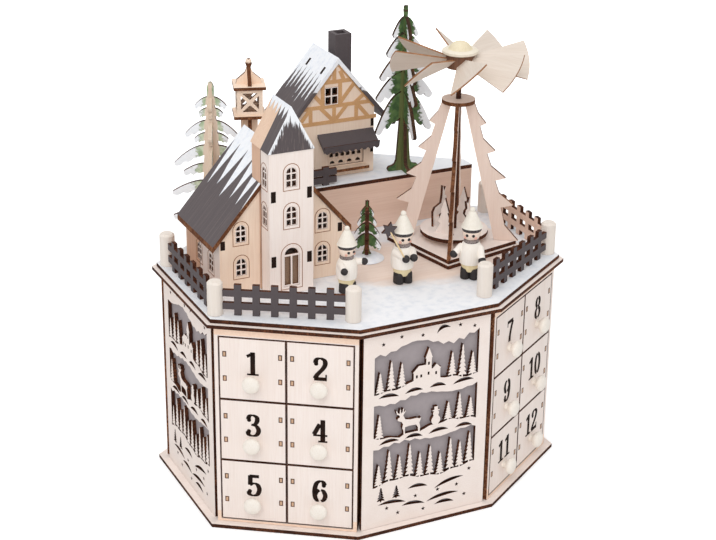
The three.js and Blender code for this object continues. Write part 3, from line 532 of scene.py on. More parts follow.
CHAPEL = [(-12, 0), (-12, 7), (-13, 7), (-7.5, 12.5), (-1, 12.5), (-1, 18), (-1.8, 18), (1.5, 27), (4.8, 18),
          (4, 18), (4, 8), (5, 8), (8.5, 11.5), (12, 8), (13, 8), (12, 7), (12, 0)]
STAG = [(-6.6, 0), (-6.9, 4), (-8.2, 7), (-7.4, 11), (-9, 13.6), (-12.6, 15.4), (-13.4, 16.6), (-12.8, 18),
        (-10.6, 19.2), (-11.6, 21), (-14, 22.4), (-15, 26), (-14.2, 26.2), (-13, 23.6), (-11.2, 22.6),
        (-10.8, 27), (-10, 27.2), (-9.8, 22.6), (-8.4, 23.6), (-7.6, 27.4), (-6.8, 27.2), (-7, 23),
        (-5.6, 24.8), (-4.8, 24.4), (-7.4, 20), (-5, 15.6), (0, 14.4), (7, 14.6), (9.6, 13.4), (11.4, 14.4),
        (10.8, 11.6), (9.6, 9), (10.6, 5), (10.2, 0)]
STAG_BELLY = [(-5.2, 0.6), (-5.4, 4), (-5.2, 7.4), (0, 8), (6.4, 7.6), (8.2, 4.4), (8.6, 0.6)]
STAG_AT, STAG_SCALE = -0.3, 0.8


def snowman_shape(radius):
    side = []
    for middle, share, start, end in ((0.9, 1.0, -60, 48), (2.4, 0.66, -42, 50)):
        turns = [circle_point(start + (end - start) * k / 5, radius * share) for k in range(6)]
        side += [(-x, radius * middle + z) for x, z in turns]
    side += [(-radius * x, radius * z) for x, z in ((0.8, 3.0), (0.8, 3.2), (0.4, 3.2), (0.4, 3.9))]
    return side + mirrored(side)


def skyline(half, ground, sky, figures):
    """One window of the fretwork: along the ground, over each figure on it, and back under the sky."""
    def line(start, end, steps, height):
        """Points of a height over x from a start to short of an end."""
        places = [start + (end - start) * k / steps for k in range(steps)]
        return [(x, height(x)) for x in places]

    path, reached = [], -half
    for x, outline in sorted(figures, key=lambda item: item[0]):
        foot = x + outline[0][0]
        path += line(reached, foot, max(2, round((foot - reached) / 3)), ground)
        path += moved(outline, x, ground(x))
        reached = x + outline[-1][0] + 0.3
    path += line(reached, half, 3, ground) + [(half, ground(half))]
    return path + line(half, -half, 20, sky) + [(-half, sky(-half))]


def drift(x, z, length, sag, tilt):
    """A drift of snow or a moon: a curved sliver, thick in the middle."""
    rows = [(k / 8 - 0.5, 1 - 4 * (k / 8 - 0.5) ** 2) for k in range(9)]
    points = [(a * length, b * (sag - 1.5)) for a, b in rows]
    points += [(a * length, b * (sag + 1.5)) for a, b in rows[-2:0:-1]]
    cosine, sine = circle_point(tilt)
    return [(x + a * cosine - b * sine, z + a * sine + b * cosine) for a, b in points]


def star_shape(x, z, radius, points=5, inner=0.42):
    spokes = [(90 + 180 * k / points, radius * (inner if k % 2 else 1)) for k in range(2 * points)]
    return moved([circle_point(*spoke) for spoke in spokes], x, z)


def far_ground(x):
    return 115 + 2.4 * math.cos(x / 12) + 0.8 * math.sin(x / 3)


def middle_ground(x):
    return 76 + 2.5 * math.sin(x / 13) + 0.7 * math.sin(x / 2.7)


def near_ground(x):
    return 36 + 2 * math.cos(x / 10 + 2) + 0.7 * math.sin(x / 2.9)


def clouds(height, sway, phase, tooth):
    """A skyline: a slow swell with tufts like distant tree tops."""
    return lambda x: height + sway * math.cos(x / 9 + phase) + tooth * abs(math.sin(x / 2.6 + phase))


def fret_windows(half):
    """Three winter scenes one over the other, each standing on the wood below it."""
    def firs(*places):
        """Narrow firs at shares of the half width, each with its height."""
        return [(share * half, fir_shape(height, 3.55, 7)) for share, height in places]

    far = firs((-0.89, 17), (-0.68, 24), (-0.48, 20), (0.49, 20), (0.69, 27), (0.89, 19))
    far.append((0.0, moved(CHAPEL, 0, 0, 0.92)))
    middle = firs((-0.89, 20), (0.44, 15), (0.66, 22), (0.88, 17))
    middle += [(STAG_AT * half, moved(STAG, 0, 0, STAG_SCALE)), (0.2 * half, snowman_shape(3.8))]
    near = firs((-0.89, 18), (-0.69, 26), (-0.49, 20), (-0.29, 27), (-0.09, 21), (0.11, 25), (0.31, 19),
                (0.51, 27), (0.7, 22), (0.89, 26))
    rows = [(far_ground, clouds(144.5, 3.2, 1, 3.2), far), (middle_ground, clouds(103, 2, 0.4, 1.8), middle),
            (near_ground, clouds(66.5, 1.6, 2, 2.0), near)]
    windows = [skyline(half, low, high, figures) for low, high, figures in rows]
    belly = moved(STAG_BELLY, STAG_AT * half, middle_ground(STAG_AT * half), STAG_SCALE)
    return [*windows, belly]


# Small cut-outs, across as a share of the half width and up in millimetres
STARS = [(-0.84, 152), (-0.5, 155.5), (-0.1, 153.5), (0.62, 156), (0.9, 153), (-0.72, 14.5), (-0.16, 19.5),
         (0.28, 20.5), (0.66, 21), (0.9, 32.5), (0.82, 11), (0.0, 6.6), (-0.5, 8.4)]
LIT_WINDOWS = [(-8.4, 3), (-4.8, 3), (1.3, 4), (1.3, 12.2), (7.6, 3.2)]      # from the chapel's foot
DRIFTS = [(-0.72, 108.2, 17, -4), (-0.24, 108.6, 15, 3), (0.22, 108.8, 14, -3), (0.72, 108.4, 18, 4),
          (-0.7, 70.2, 17, 3), (-0.22, 70.4, 15, -3), (0.26, 70.8, 17, 3), (0.76, 70.4, 15, -3),
          (-0.12, 26.5, 17, -4), (0.5, 24.6, 26, 12), (-0.62, 17.5, 24, -5),
          (0.38, 13.2, 28, 5), (-0.2, 12.4, 20, -6), (0.42, 7.4, 17, -3)]
LITTLE_FIRS = [(-0.84, 21, 12.5), (-0.54, 21.5, 11)]


def fret_details(half):
    """Small cut-outs: stars, moon, lit windows, drifts of snow and little firs."""
    loops = [star_shape(x * half, z, 1.9) for x, z in STARS]
    loops.append(drift(0.3 * half, 154, 12, 3.2, 16))
    loops += [rectangle(x, far_ground(0) + z, 1.5, 2.5) for x, z in LIT_WINDOWS]
    loops += [drift(x * half, z, length, 1.9, tilt) for x, z, length, tilt in DRIFTS]
    return loops + [moved(fir_shape(height, 3.4, 5), x * half, z) for x, z, height in LITTLE_FIRS]


def fretwork(side, turn):
    """The panel's fretwork, cut finer than the CAD's and set where the CAD panel stands."""
    node = f"fret_panel_{side}"
    low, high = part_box(node)
    width, height = max(high.x - low.x, high.y - low.y) / MM, (high.z - low.z) / MM
    facing = Vector((math.sin(math.radians(turn)), -math.cos(math.radians(turn)), 0))
    front = (low + high) / 2 / MM + facing * PLY / 2
    half = width / 2 - FRET_MARGIN
    loops = [rectangle(0, height / 2, width, height), *fret_windows(half), *fret_details(half)]
    place = wall(front.x, front.y, low.z / MM, turn)
    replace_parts(plate(f"fretwork_{side}", loops, PLY, place, birch, scorched, base=-PLY), node)


# Numerals drawn with a broad pen: each is a list of lines in a box one unit high
BRIDGE = 9                       # half the gap, in degrees, that keeps a stencil's middle in place


def ring(centre, radii):
    return [[Vector(p) for p in arc(centre, radii, start, end)]
            for start, end in ((90 + BRIDGE, 270 - BRIDGE), (90 - BRIDGE, BRIDGE - 90))]


def soft(*points):
    return smooth_line([Vector(p) for p in points], 6)


BOWL = [(0.15, 0.52), (0.3, 0.6), (0.46, 0.54), (0.53, 0.33), (0.45, 0.11), (0.28, 0.045), (0.13, 0.1),
        (0.11, 0.22)]
SIX = [[(0.5, 0.78), (0.44, 0.92), (0.32, 0.955), (0.17, 0.83), (0.1, 0.52), (0.12, 0.22), (0.2, 0.08),
        (0.27, 0.05)],
       [(0.36, 0.05), (0.47, 0.12), (0.53, 0.3), (0.46, 0.5), (0.36, 0.56)],
       [(0.28, 0.56), (0.18, 0.46), (0.13, 0.36)]]
NUMERALS = {
    "0": ring((0.31, 0.5), (0.2, 0.45)),
    "1": [soft((0.33, 0.03), (0.33, 0.99)), soft((0.33, 0.93), (0.1, 0.8))],
    "2": [soft((0.12, 0.74), (0.17, 0.9), (0.32, 0.955), (0.48, 0.87), (0.5, 0.7), (0.4, 0.5), (0.2, 0.26),
               (0.1, 0.08))],
    "3": [soft((0.12, 0.76), (0.17, 0.91), (0.31, 0.955), (0.46, 0.87), (0.47, 0.7), (0.38, 0.57),
               (0.24, 0.535)),
          soft((0.24, 0.53), (0.44, 0.48), (0.53, 0.29), (0.45, 0.1), (0.28, 0.045), (0.13, 0.1),
               (0.11, 0.23))],
    "4": [soft((0.42, 0.03), (0.42, 0.99)), soft((0.3, 0.8), (0.07, 0.34))],
    "5": [soft(*BOWL), soft((0.16, 0.52), (0.17, 0.95))],
    "6": [soft(*line) for line in SIX],
    "7": [soft((0.54, 0.88), (0.4, 0.56), (0.31, 0.26), (0.3, 0.02))],
    "8": ring((0.31, 0.745), (0.16, 0.205)) + ring((0.31, 0.27), (0.2, 0.225)),
    "9": [soft(*[(0.62 - x, 1 - y) for x, y in line]) for line in SIX],
}
# Straight serifs and bars, each as its middle and its size, and the round ends of curves
SLABS = {
    "1": [(0.33, 0.035, 0.46, 0.07)], "2": [(0.32, 0.075, 0.5, 0.15), (0.54, 0.15, 0.06, 0.24)],
    "4": [(0.42, 0.035, 0.36, 0.07), (0.32, 0.305, 0.56, 0.08)], "5": [(0.33, 0.92, 0.38, 0.14)],
    "7": [(0.31, 0.92, 0.5, 0.14), (0.085, 0.84, 0.05, 0.24)],
}
BALLS = {"2": [(0.15, 0.72)], "3": [(0.15, 0.74), (0.14, 0.25)], "5": [(0.14, 0.24)], "6": [(0.47, 0.76)],
         "9": [(0.15, 0.24)]}
PEN_THIN, PEN_BROAD, BALL = 0.06, 0.19, 0.085
NUMERAL_HEIGHT, NUMERAL_PITCH, NUMERAL_DROP = 18.8, 0.6, 20.0


def pen_widths(line):
    """A broad pen held flat: thick on the way down, thin on the way across."""
    widths = []
    for k in range(len(line)):
        ahead = line[min(k + 1, len(line) - 1)] - line[max(k - 1, 0)]
        widths.append(PEN_THIN + (PEN_BROAD - PEN_THIN) * abs(ahead.y) / (ahead.length or 1))
    return widths


def numeral_form(text):
    """The number's strokes, centred on the origin, as a bmesh."""
    form = bmesh.new()
    size = NUMERAL_HEIGHT
    for place, digit in enumerate(text):
        corner = Vector(((place - len(text) / 2) * NUMERAL_PITCH - 0.01, -0.5))
        for line in NUMERALS[digit]:
            widths = [width * size for width in pen_widths(line)]
            ribbon(form, [(point + corner) * size for point in line], widths)
        for x, y, width, height in SLABS.get(digit, []):
            middle = (Vector((x, y)) + corner) * size
            half = Vector((width * size / 2, 0))
            ribbon(form, [middle - half, middle + half], [height * size] * 2)
        for x, y in BALLS.get(digit, []):
            centre = (Vector((x, y)) + corner) * size
            rim = arc(centre, (BALL * size, BALL * size), 0, 330, 11)
            form.faces.new([form.verts.new((x * MM, y * MM, 0)) for x, y in rim])
    form.normal_update()
    return form


RACK_TOP, RACK_FOOT = 158.5, 12.0          # of the pale wood in front, with brown rails past them: the one above is painted shade under the deck
KNOB_REACH, KNOB_DROP = 10.0, 34.0         # how far a knob stands out, and how far below the top it is
KNOB = [(0, -0.3), (2.9, -0.3), (2.8, 1.2), (3.2, 2.6), (5.6, 4.4), (6.6, 6.2), (6.3, 8.0), (4.6, 9.3),
        (2.2, 9.9), (0, 10)]
TENON_X, TENON_Y, TENON_SIZE = 20.6, (16.8, 36.5), (2.9, 4.4)
# How far the burn of the cut runs over an edge, both sides together
TENON_BURN, FRONT_BURN = 1.3, 1.1


def joint_axis(name):
    """The direction in which a drawer slides out."""
    return Vector(next(joint for joint in frame["joints"] if joint["child"] == name)["axis"])


def drawer(number):
    """Wood, numeral, tenon ends and knob of one drawer, from the CAD drawer's own place."""
    name, label = f"drawer_{number:02d}", f"{number:02d}"
    outward = joint_axis(name)
    turn = math.degrees(math.atan2(outward.x, -outward.y))
    spin = rotation(turn).to_3x3()
    points = [spin.inverted() @ v.co / MM for v in frame["nodes"][name].data.vertices]
    low, high = (Vector([pick(p[axis] for p in points) for axis in range(3)]) for pick in (min, max))
    front = low.y + KNOB_REACH
    skin(name, birch, scorched, keep=lambda c: (spin.inverted() @ c).y > front - 0.05)
    face = wall(*(spin @ Vector(((low.x + high.x) / 2, front, low.z))), turn)
    wide, height = high.x - low.x, high.z - low.z
    numeral = numeral_form(str(number))
    marks("numeral_" + label, numeral, face @ shift(0, height - NUMERAL_DROP), charred, name)
    turned("knob_" + label, KNOB, face @ shift(0, height - KNOB_DROP), lacquer, name, 32, 2)
    cores, rims = [], []
    for x, y in ((side * TENON_X, y) for side in (-1, 1) for y in TENON_Y):
        cores.append(rectangle(x, y, *(size - TENON_BURN for size in TENON_SIZE)))
        rims += [rectangle(x, y, *TENON_SIZE), cores[-1]]
    plate("tenon_rims_" + label, rims, 0.1, face, scorched, scorched, name)
    plate("tenons_" + label, cores, 0.08, face, tenon_wood, tenon_wood, name)
    rim = [rectangle(0, height / 2, wide - inset, height - inset) for inset in (0.04, FRONT_BURN)]
    plate("burnt_rim_" + label, rim, 0.05, face, scorched, scorched, name)


def railed_wood(name, top, foot):
    """Pale wood between two heights, brown above and below them; the brown above is painted shade under the
    deck.
    """
    graph = Graph(name)
    pale, streaks = grain_colour(graph, BIRCH_LIGHT, BIRCH_DARK, "Z")
    brown, _ = grain_colour(graph, tone(252, 224, 202), tone(238, 202, 178), "X")
    height, fade = graph.axis("Z"), 0.0004
    # brown above the top height: painted shade under the deck's overhang
    above, below = graph.between(height, top, top + fade), graph.between(height, foot, foot - fade)
    return grained(graph, graph.mix(graph.larger(above, below), pale, brown), streaks)


def racks_and_drawers():
    front = railed_wood("rack_front", RACK_TOP * MM, RACK_FOOT * MM)
    rack_end = burnt_edge("rack_end", tone(86, 46, 28), tone(176, 122, 86))
    for side, first in (("front_left", 1), ("front_right", 7), ("back_right", 13), ("back_left", 19)):
        outward = joint_axis(f"drawer_{first:02d}")
        across = Vector((-outward.y, outward.x, 0))
        spans = [v.co.dot(across) / MM for v in frame["nodes"][f"drawer_rack_{side}"].data.vertices]
        ends = (min(spans), max(spans))

        def paint(centre, normal, narrow):
            if min(abs(centre.dot(across) - end) for end in ends) < 0.5:
                return rack_end
            return scorched if narrow else (front if normal.dot(outward) > 0.9 else birch)

        skin(f"drawer_rack_{side}", birch, scorched, THIN_EDGE, paint)
    for number in range(1, 25):
        drawer(number)


# Fences


POST_RADIUS, POST_HEIGHT = 5.8, 26.0
POSTS = [(140, 50), (140, -50), (54, -101.5)]


def fences():
    for side, sign in (("left", -1), ("right", 1)):
        posts = [Vector((sign * x, y, 0)) for x, y in POSTS]

        def away(point, reach):
            return min((Vector((point.x, point.y, 0)) - post).length for post in posts) > reach

        def fence_paint(centre, normal, narrow):
            if narrow:
                return scorched
            return slate if normal.x * centre.x + normal.y * centre.y > 0 else raw

        skin(f"fence_{side}", slate, scorched, THIN_EDGE, fence_paint, lambda c: away(c, POST_RADIUS - 1.2))
        for k, post in enumerate(posts):
            profile = [(0, 0), (POST_RADIUS, 0), (POST_RADIUS, POST_HEIGHT - 1.6),
                       (POST_RADIUS - 1.4, POST_HEIGHT - 0.1), (0, POST_HEIGHT)]
            turned(f"fence_post_{side}_{k}", profile, shift(post.x, post.y, DECK), post_wood)


# Church


CHURCH_X, CHURCH_FRONT = -75.0, -22.0
NAVE_WIDTH, TOWER_WIDTH, SPIRE = 100.0, 35.0, 34.0
TOWER_FRONT = 17.6              # how far the tower stands out from the nave
NAVE_WINDOW, TOWER_WINDOW, TOWER_SIDE_WINDOW = (8.6, 14), (9, 15.5), (7.5, 15.5)
NAVE_SILLS, TOWER_SILLS = (13, 39.5), (54, 84)


def arch(width, height, count=10):
    """Outline of a round-headed opening, its sill on y = 0."""
    half = width / 2
    return [(-half, 0), (half, 0)] + arc((0, height - half), (half, half), 0, 180, count)


def engraving(name, width, height, drop, matrix, count=10):
    """The line engraved round an opening, half a millimetre wide and 2.2 from it to its outer edge."""
    outer = moved(arch(width + 4.4, height + 5.4, count), 0, -drop)
    inner = moved(arch(width + 3.4, height + 4.4, count), 0, 0.5 - drop)
    plate(name + "_line", [outer, inner], 0.1, matrix, engraved, engraved)


def arched_panes(width, height, bar):
    """Panes of a round-headed window: two columns, two rows and two quarter circles on top."""
    half, spring = width / 2 - bar * 0.7, height - width / 2
    rise = (spring - bar * 0.5) / 2
    panes = []
    for side in (-1, 1):
        inner, outer = side * bar / 2, side * half
        for row in range(2):
            low = bar * 0.5 + row * rise
            panes.append([(inner, low), (outer, low), (outer, low + rise - bar), (inner, low + rise - bar)])
        head = [(inner, spring), (outer, spring)]
        head += [(side * x, spring + z) for x, z in (circle_point(a, half) for a in (25, 50, 68))]
        panes.append([*head, (inner, spring + half * 0.98)])
    return panes


def window(name, matrix, width, height):
    """Glazing bars set in a round-headed opening, with the engraved line round it."""
    loops = [arch(width + 0.2, height + 0.2), *arched_panes(width, height, 1.1)]
    plate(name + "_bars", loops, 1.6, matrix, birch, toasted, base=-2.0)
    engraving(name, width, height, 2.6, matrix)


def slots(name, matrix, spots, size=(3.8, 8.6)):
    """Dark ends of the tabs that join two walls, or a dark sheet of painted shade in an opening."""
    plate(name, [rectangle(x, y, *size) for x, y in spots], 0.1, matrix, charred, scorched)


def door(matrix, width, height):
    """Double door under a fanlight."""
    half, spring = width / 2, height - width / 2
    leaf = [(0.7, 1.2), (half - 1.0, 1.2), (half - 1.0, spring - 0.6), (0.7, spring - 0.6)]
    fan = arc((0, spring + 0.9), (half - 1.2, half - 1.6), 0, 180, 12)
    loops = [arch(width + 0.2, height + 0.2, 16), leaf, [(-x, y) for x, y in leaf], fan]
    plate("church_door_frame", loops, 1.6, matrix, birch, toasted, base=-2.0)
    leaves = [rectangle(side * half / 2, spring / 2, half - 1.4, spring - 1.4) for side in (-1, 1)]
    leaf_wood = wood("door_leaf", tone(150, 120, 96), tone(110, 84, 66))
    plate("church_door_leaves", leaves, 0.6, matrix, leaf_wood, scorched, base=-2.9)
    engraving("church_door", width + 0.2, height, 2.4, matrix, 16)


def church_walls():
    """Nave and tower: pale in front and raw behind, with windows, a door and the ends of the tabs."""
    tower_side = two_part_wood("tower_side", (CHURCH_FRONT - TOWER_FRONT + 15.5) * MM)
    nave_side = two_part_wood("nave_side", (CHURCH_FRONT + 41) * MM)

    def nave_paint(_, normal, narrow):
        if narrow:
            return toasted
        return nave_side if abs(normal.x) > 0.5 else (tan if abs(normal.y) > 0.5 else birch)

    def tower_paint(_, normal, narrow):
        if narrow:
            return toasted
        return birch if normal.y < -0.5 else tower_side

    skin("church_nave", tan, toasted, rule=nave_paint)
    skin("church_tower", birch, toasted, rule=tower_paint)
    front = wall(CHURCH_X, CHURCH_FRONT, DECK, 0)
    tower = shift(0, -TOWER_FRONT)
    for side in (-1, 1):
        for k, sill in enumerate(NAVE_SILLS):
            window(f"nave_front_window_{'lr'[side > 0]}{k}", front @ shift(side * 33, sill), *NAVE_WINDOW)
    for side, turn in ((-1, 270), (1, 90)):
        plane = wall(CHURCH_X + side * NAVE_WIDTH / 2, CHURCH_FRONT, DECK, turn)
        for k, along in enumerate((18, 42)):
            place = plane @ shift(side * along, NAVE_SILLS[0])
            window(f"nave_side_window_{'lr'[side > 0]}{k}", place, *NAVE_WINDOW)
        plane = tower @ wall(CHURCH_X + side * TOWER_WIDTH / 2, CHURCH_FRONT, DECK, turn)
        for k, sill in enumerate(TOWER_SILLS):
            place = plane @ shift(side * 9, sill)
            window(f"tower_side_window_{'lr'[side > 0]}{k}", place, *TOWER_SIDE_WINDOW)
    face = tower @ front
    for k, sill in enumerate(TOWER_SILLS):
        window(f"tower_window_{k}", face @ shift(0, sill), *TOWER_WINDOW)
    door(face @ shift(0, 6), 13, 31)
    slots("tower_tabs", face, [(-14.3, 27.2), (14.3, 27.2), (-14.3, 78.1), (14.3, 78.1)])
    slots("nave_tabs", front, [(-47.4, 39.0), (47.4, 39.0)], (3.6, 7))


def two_part_wood(name, split):
    """Pale wood in front of a burnt line where y is split, in metres, and raw wood behind it."""
    graph = Graph(name)
    pale, streaks = grain_colour(graph, BIRCH_LIGHT, BIRCH_DARK, "Z")
    dull, _ = grain_colour(graph, tone(226, 186, 158), tone(204, 160, 132), "Z")
    y = graph.axis("Y")
    colour = graph.mix(graph.between(y, split - 0.0001, split + 0.0001), pale, dull)
    line = graph.between(graph.maths("ABSOLUTE", graph.minus(y, split)), 0.0004, 0.0006)
    return grained(graph, graph.mix(line, tone(96, 58, 40), colour), streaks)


def church_roofs():
    nave_ridge, tower_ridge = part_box("nave_roof")[1].z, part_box("tower_roof")[1].z
    skin("nave_roof", snowy_roof("nave_roof_paint", nave_ridge, (0.010, 0.040), 0.0135, 0.001), toasted, 4.9)
    spire = snowy_roof("spire_paint", tower_ridge, (0.001, 0.008), 0.006, 0.004, (CHURCH_FRONT - 4) * MM)
    gable = gable_snow("spire_gable_paint", CHURCH_X * MM, tower_ridge, SPIRE / (TOWER_WIDTH / 2 + 1))

    def spire_rule(_, normal, narrow):
        if narrow:
            return toasted
        return gable if abs(normal.y) > 0.5 else spire

    skin("tower_roof", spire, toasted, 3.6, spire_rule)


def gable_snow(name, middle, ridge, slope):
    """Slate paint on a gable, with brushed snow from the tip and along both sloping edges."""
    graph = Graph(name)
    brush = graph.noise((900.0, 900.0, 90.0), 3.0)
    fall = graph.minus(ridge, graph.axis("Z"))
    side = graph.maths("ABSOLUTE", graph.minus(graph.axis("X"), middle))
    inside = graph.minus(graph.maths("DIVIDE", fall, slope), side)
    ragged = graph.linear(brush, 0.011, -0.0025)
    cover = graph.between(graph.minus(ragged, inside), 0.0, 0.0015)
    tip = graph.linear(graph.noise((800.0, 800.0, 60.0), 3.0), 0.03, -0.001)
    cover = graph.larger(cover, graph.between(graph.minus(tip, fall), 0.0, 0.003))
    paint = graph.mix(graph.between(brush, 0.5, 0.8), SLATE, SLATE_WORN)
    return graph.shade(graph.mix(cover, paint, WHITE), 0.7, cover, 0.0002)


# Terrace and house


TERRACE = {"left": -32.0, "right": 128.0, "front": 53.0, "height": 42.0}
LANTERN = (-58.5, 80)
HOUSE = {"x": 13.4, "front": 72.0, "foot": DECK + TERRACE["height"], "pitch": 50.0}


def terrace():
    top = DECK + TERRACE["height"] - 0.4

    def paint(centre, normal, narrow):
        if narrow:
            return scorched
        if centre.z > top + 2:
            return slate
        return snow if normal.z > 0.5 else raw

    skin("terrace", raw, scorched, THIN_EDGE, paint)
    front = wall(0, TERRACE["front"], DECK, 0)
    middle = (TERRACE["left"] + TERRACE["right"]) / 2
    edge = rectangle(middle, TERRACE["height"] - 1.8, TERRACE["right"] - TERRACE["left"], PLY)
    plate("terrace_top_edge", [edge], 0.15, front, scorched, scorched)


def half_timber(name, face):
    """Beams on a gable: sill, rails, posts and braces."""
    low, rail, head, eaves, thick = 46.6, 59.6, 79.5, 55.5, 3.2
    lines = [((-35, low), (35, low)), ((-31, rail), (31, rail)), ((-14, head), (14, head))]
    lines += [((x, low), (x, rail)) for x in (-23, -2.5, 17)]
    lines += [((-2.5, low), (-15, rail)), ((-2.5, low), (9, rail)), ((17, rail), (28, low)),
              ((-23, rail), (-31, low + 3))]
    lines += [((x, rail), (x, head)) for x in (-12.5, 2.6)]
    lines += [((-12.5, rail + 2), (-22, rail + 13)), ((2.6, rail + 2), (15, rail + 17)),
              ((15, rail), (24, rail + 7))]
    lines += [((-2.5, head), (-2.5, 92)), ((-9, head), (-6, 86)), ((6, head), (2.5, 88))]
    strokes(f"{name}_timbers", lines, thick, face, beam, proud=0.25)
    top = eaves + 31.2 * math.tan(math.radians(HOUSE["pitch"]))
    barge = [((side * 33.2, eaves), (side * 2, top)) for side in (-1, 1)]
    strokes(f"{name}_barge_beams", barge, thick + 0.2, face, beam, proud=0.3)


WINDOW_AT = (-5.1, 68.1)         # in a gable of the house


def house_window(name, face):
    x, y = WINDOW_AT
    loops = [rectangle(x, y, 11.6, 14.2)]
    loops += [rectangle(x + side * 2.85, y - 3.5 + row * 7.1, 4.6, 6.0) for side in (-1, 1) for row in (0, 1)]
    plate(f"{name}_window_bars", loops, 0.5, face, birch, toasted)


def stall(face):
    """Goods on show under the awning, cut out of a panel, and the awning's scalloped edge."""
    jug = [(-1.5, 0), (1.5, 0), (1.5, 2.2), (0.7, 3.4), (-0.7, 3.4), (-1.5, 2.2)]
    loaf = [(-2.2, 0), *arc((0, 0), (2.2, 2.4), 0, 180, 6)]
    panel = [rectangle(8, 15.4, 32.2, 13.2)]
    panel += [moved(jug, -4.2 + 4.9 * k, 16.2) for k in range(6)]
    panel += [moved(loaf, -3.4 + 7.6 * k, 10.6) for k in range(4)]
    plate("stall_goods", panel, 1.4, face, tan, scorched, base=-2.6)
    left, length, scallops = -17, 49.0, 9
    pitch = length / scallops
    edge = [(left + length, 2.6), (left, 2.6)]
    for k in range(scallops):
        edge += arc((left + pitch * (k + 0.5), 0), (pitch / 2 - 0.3, 3.6), 180, 360, 8)
    plate("awning_scallops", [edge], 1.0, face @ shift(0.5, 27.6, 11.9), slate, scorched)


def house():
    centre_x, foot = HOUSE["x"], HOUSE["foot"]
    house_front = wood("house_front", tone(244, 222, 202), tone(232, 204, 180))

    def paint(centre, normal, narrow):
        local = centre - Vector((centre_x, HOUSE["front"], foot))
        if local.y < -0.2 and local.z > 20:
            return slate
        if narrow:
            return toasted
        return house_front if normal.y < -0.5 else tan

    skin("house_walls", tan, toasted, rule=paint)
    face = wall(centre_x, HOUSE["front"], foot, 0)
    half_timber("house", face)
    house_window("house", face)
    stall(face)
    back = wall(centre_x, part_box("house_walls")[1].y / MM, foot, 180)
    half_timber("house_back", back)
    # A charred sheet of painted shade fills the back window, for the dark inside the house.
    slots("house_back_window_shade", back, [WINDOW_AT], (10.6, 13.2))
    house_window("house_back", back)
    slots("house_tabs", face, [(-31.4, 20), (31.4, 20), (31.4, 42)], (2.6, 7))
    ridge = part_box("house_roof")[1].z
    roof = snowy_roof("house_roof_paint", ridge, (0.009, 0.026), 0.0062, 0.014)
    skin("house_roof", roof, toasted, 5.0)
    skin("chimney", slate, slate, 1.0)
    roof_slots(ridge / MM)


def roof_slots(ridge):
    """Ends of the gable walls' tabs, come through the roof on both sides of the ridge."""
    for k, (side, y) in enumerate(((-1, 6), (-1, 34), (1, 6), (1, 34))):
        place = shift(HOUSE["x"], HOUSE["front"] + y, ridge) @ rotation(side * HOUSE["pitch"], "Y")
        slot = rectangle(side * 15, 0, 6.5, 2.8)
        plate(f"roof_slot_{k}", [slot], 0.12, place, charred, scorched)


def lantern():
    skin("lantern", tan, toasted, THIN_EDGE)
    finial = [(0, -1), (1.4, -0.6), (1.2, 0.6), (2.2, 1.6), (2.5, 3.2), (1.7, 4.6), (0, 5.2)]
    turned("lantern_finial", finial, shift(*LANTERN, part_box("lantern")[1].z / MM - 5.4), tan)


# Pyramid


PYRAMID, PYRAMID_TURN = (81.0, -4.0), 12.0
PLATFORM_TOP = DECK + 6.0
ROTOR_LIFT, ROTOR_RADIUS, ROTOR_TURN = 145.0, 53.5, 11.5
BLADES, BLADE_PITCH, BLADE_SPREAD = 8, 42.0, 19.0
BLOCK = [(0, -4.7), (11, -4.7), (11, 6.5), (0, 6.5)]
DISC = [(0, 6.4), (13.6, 6.4), (14, 6.9), (13.9, 8.4), (12.4, 9.5), (0, 9.5)]
DOME = [(0, 9.4), (8.8, 9.4), (8.5, 10.4), (7.2, 12.6), (4.6, 14.6), (1.6, 15.5), (0, 15.6)]


def pyramid_frame():
    skin("pyramid_platform", birch_flat, scorched)
    skin("pyramid_frame", rosy, toasted)


def rotor():
    centre = shift(*PYRAMID, PLATFORM_TOP + ROTOR_LIFT) @ rotation(PYRAMID_TURN + ROTOR_TURN)
    hub_wood = wood("hub_top", tone(238, 229, 212), tone(226, 212, 190))
    dome_wood = wood("hub_dome", tone(236, 224, 196), tone(222, 206, 170))
    block_wood = wood("hub_block", tone(122, 82, 58), tone(78, 46, 30))
    block = turned("rotor_block", BLOCK, centre, block_wood, "spinner")
    turned("rotor_disc", DISC, centre, hub_wood, "spinner")
    turned("rotor_dome", DOME, centre, dome_wood, "spinner", 40, 3)
    fan = arc((0, 0), (ROTOR_RADIUS, ROTOR_RADIUS), -BLADE_SPREAD, BLADE_SPREAD, 16)
    for k in range(BLADES):
        place = centre @ rotation(360 * k / BLADES) @ rotation(BLADE_PITCH, "X")
        outline = [(9, -4), *fan, (9, 4)]
        plate(f"rotor_blade_{k}", [outline], 1.2, place, birch_blade, veneer_edge, "spinner", -0.6)
    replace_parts(block, "pyramid_rotor")


def spindle():
    """The figures' cut edges are burnt, and so is the turntable's rim, 5 to 8 mm above the platform."""
    def paint(centre, normal, narrow):
        rim = abs(normal.z) < 0.3 and 5 < centre.z - PLATFORM_TOP < 8
        return scorched if narrow or rim else birch

    skin("pyramid_spindle", birch, scorched, 2.2, paint)


# Trees


MOUND = (5, -2)                 # of snow, under the small tree


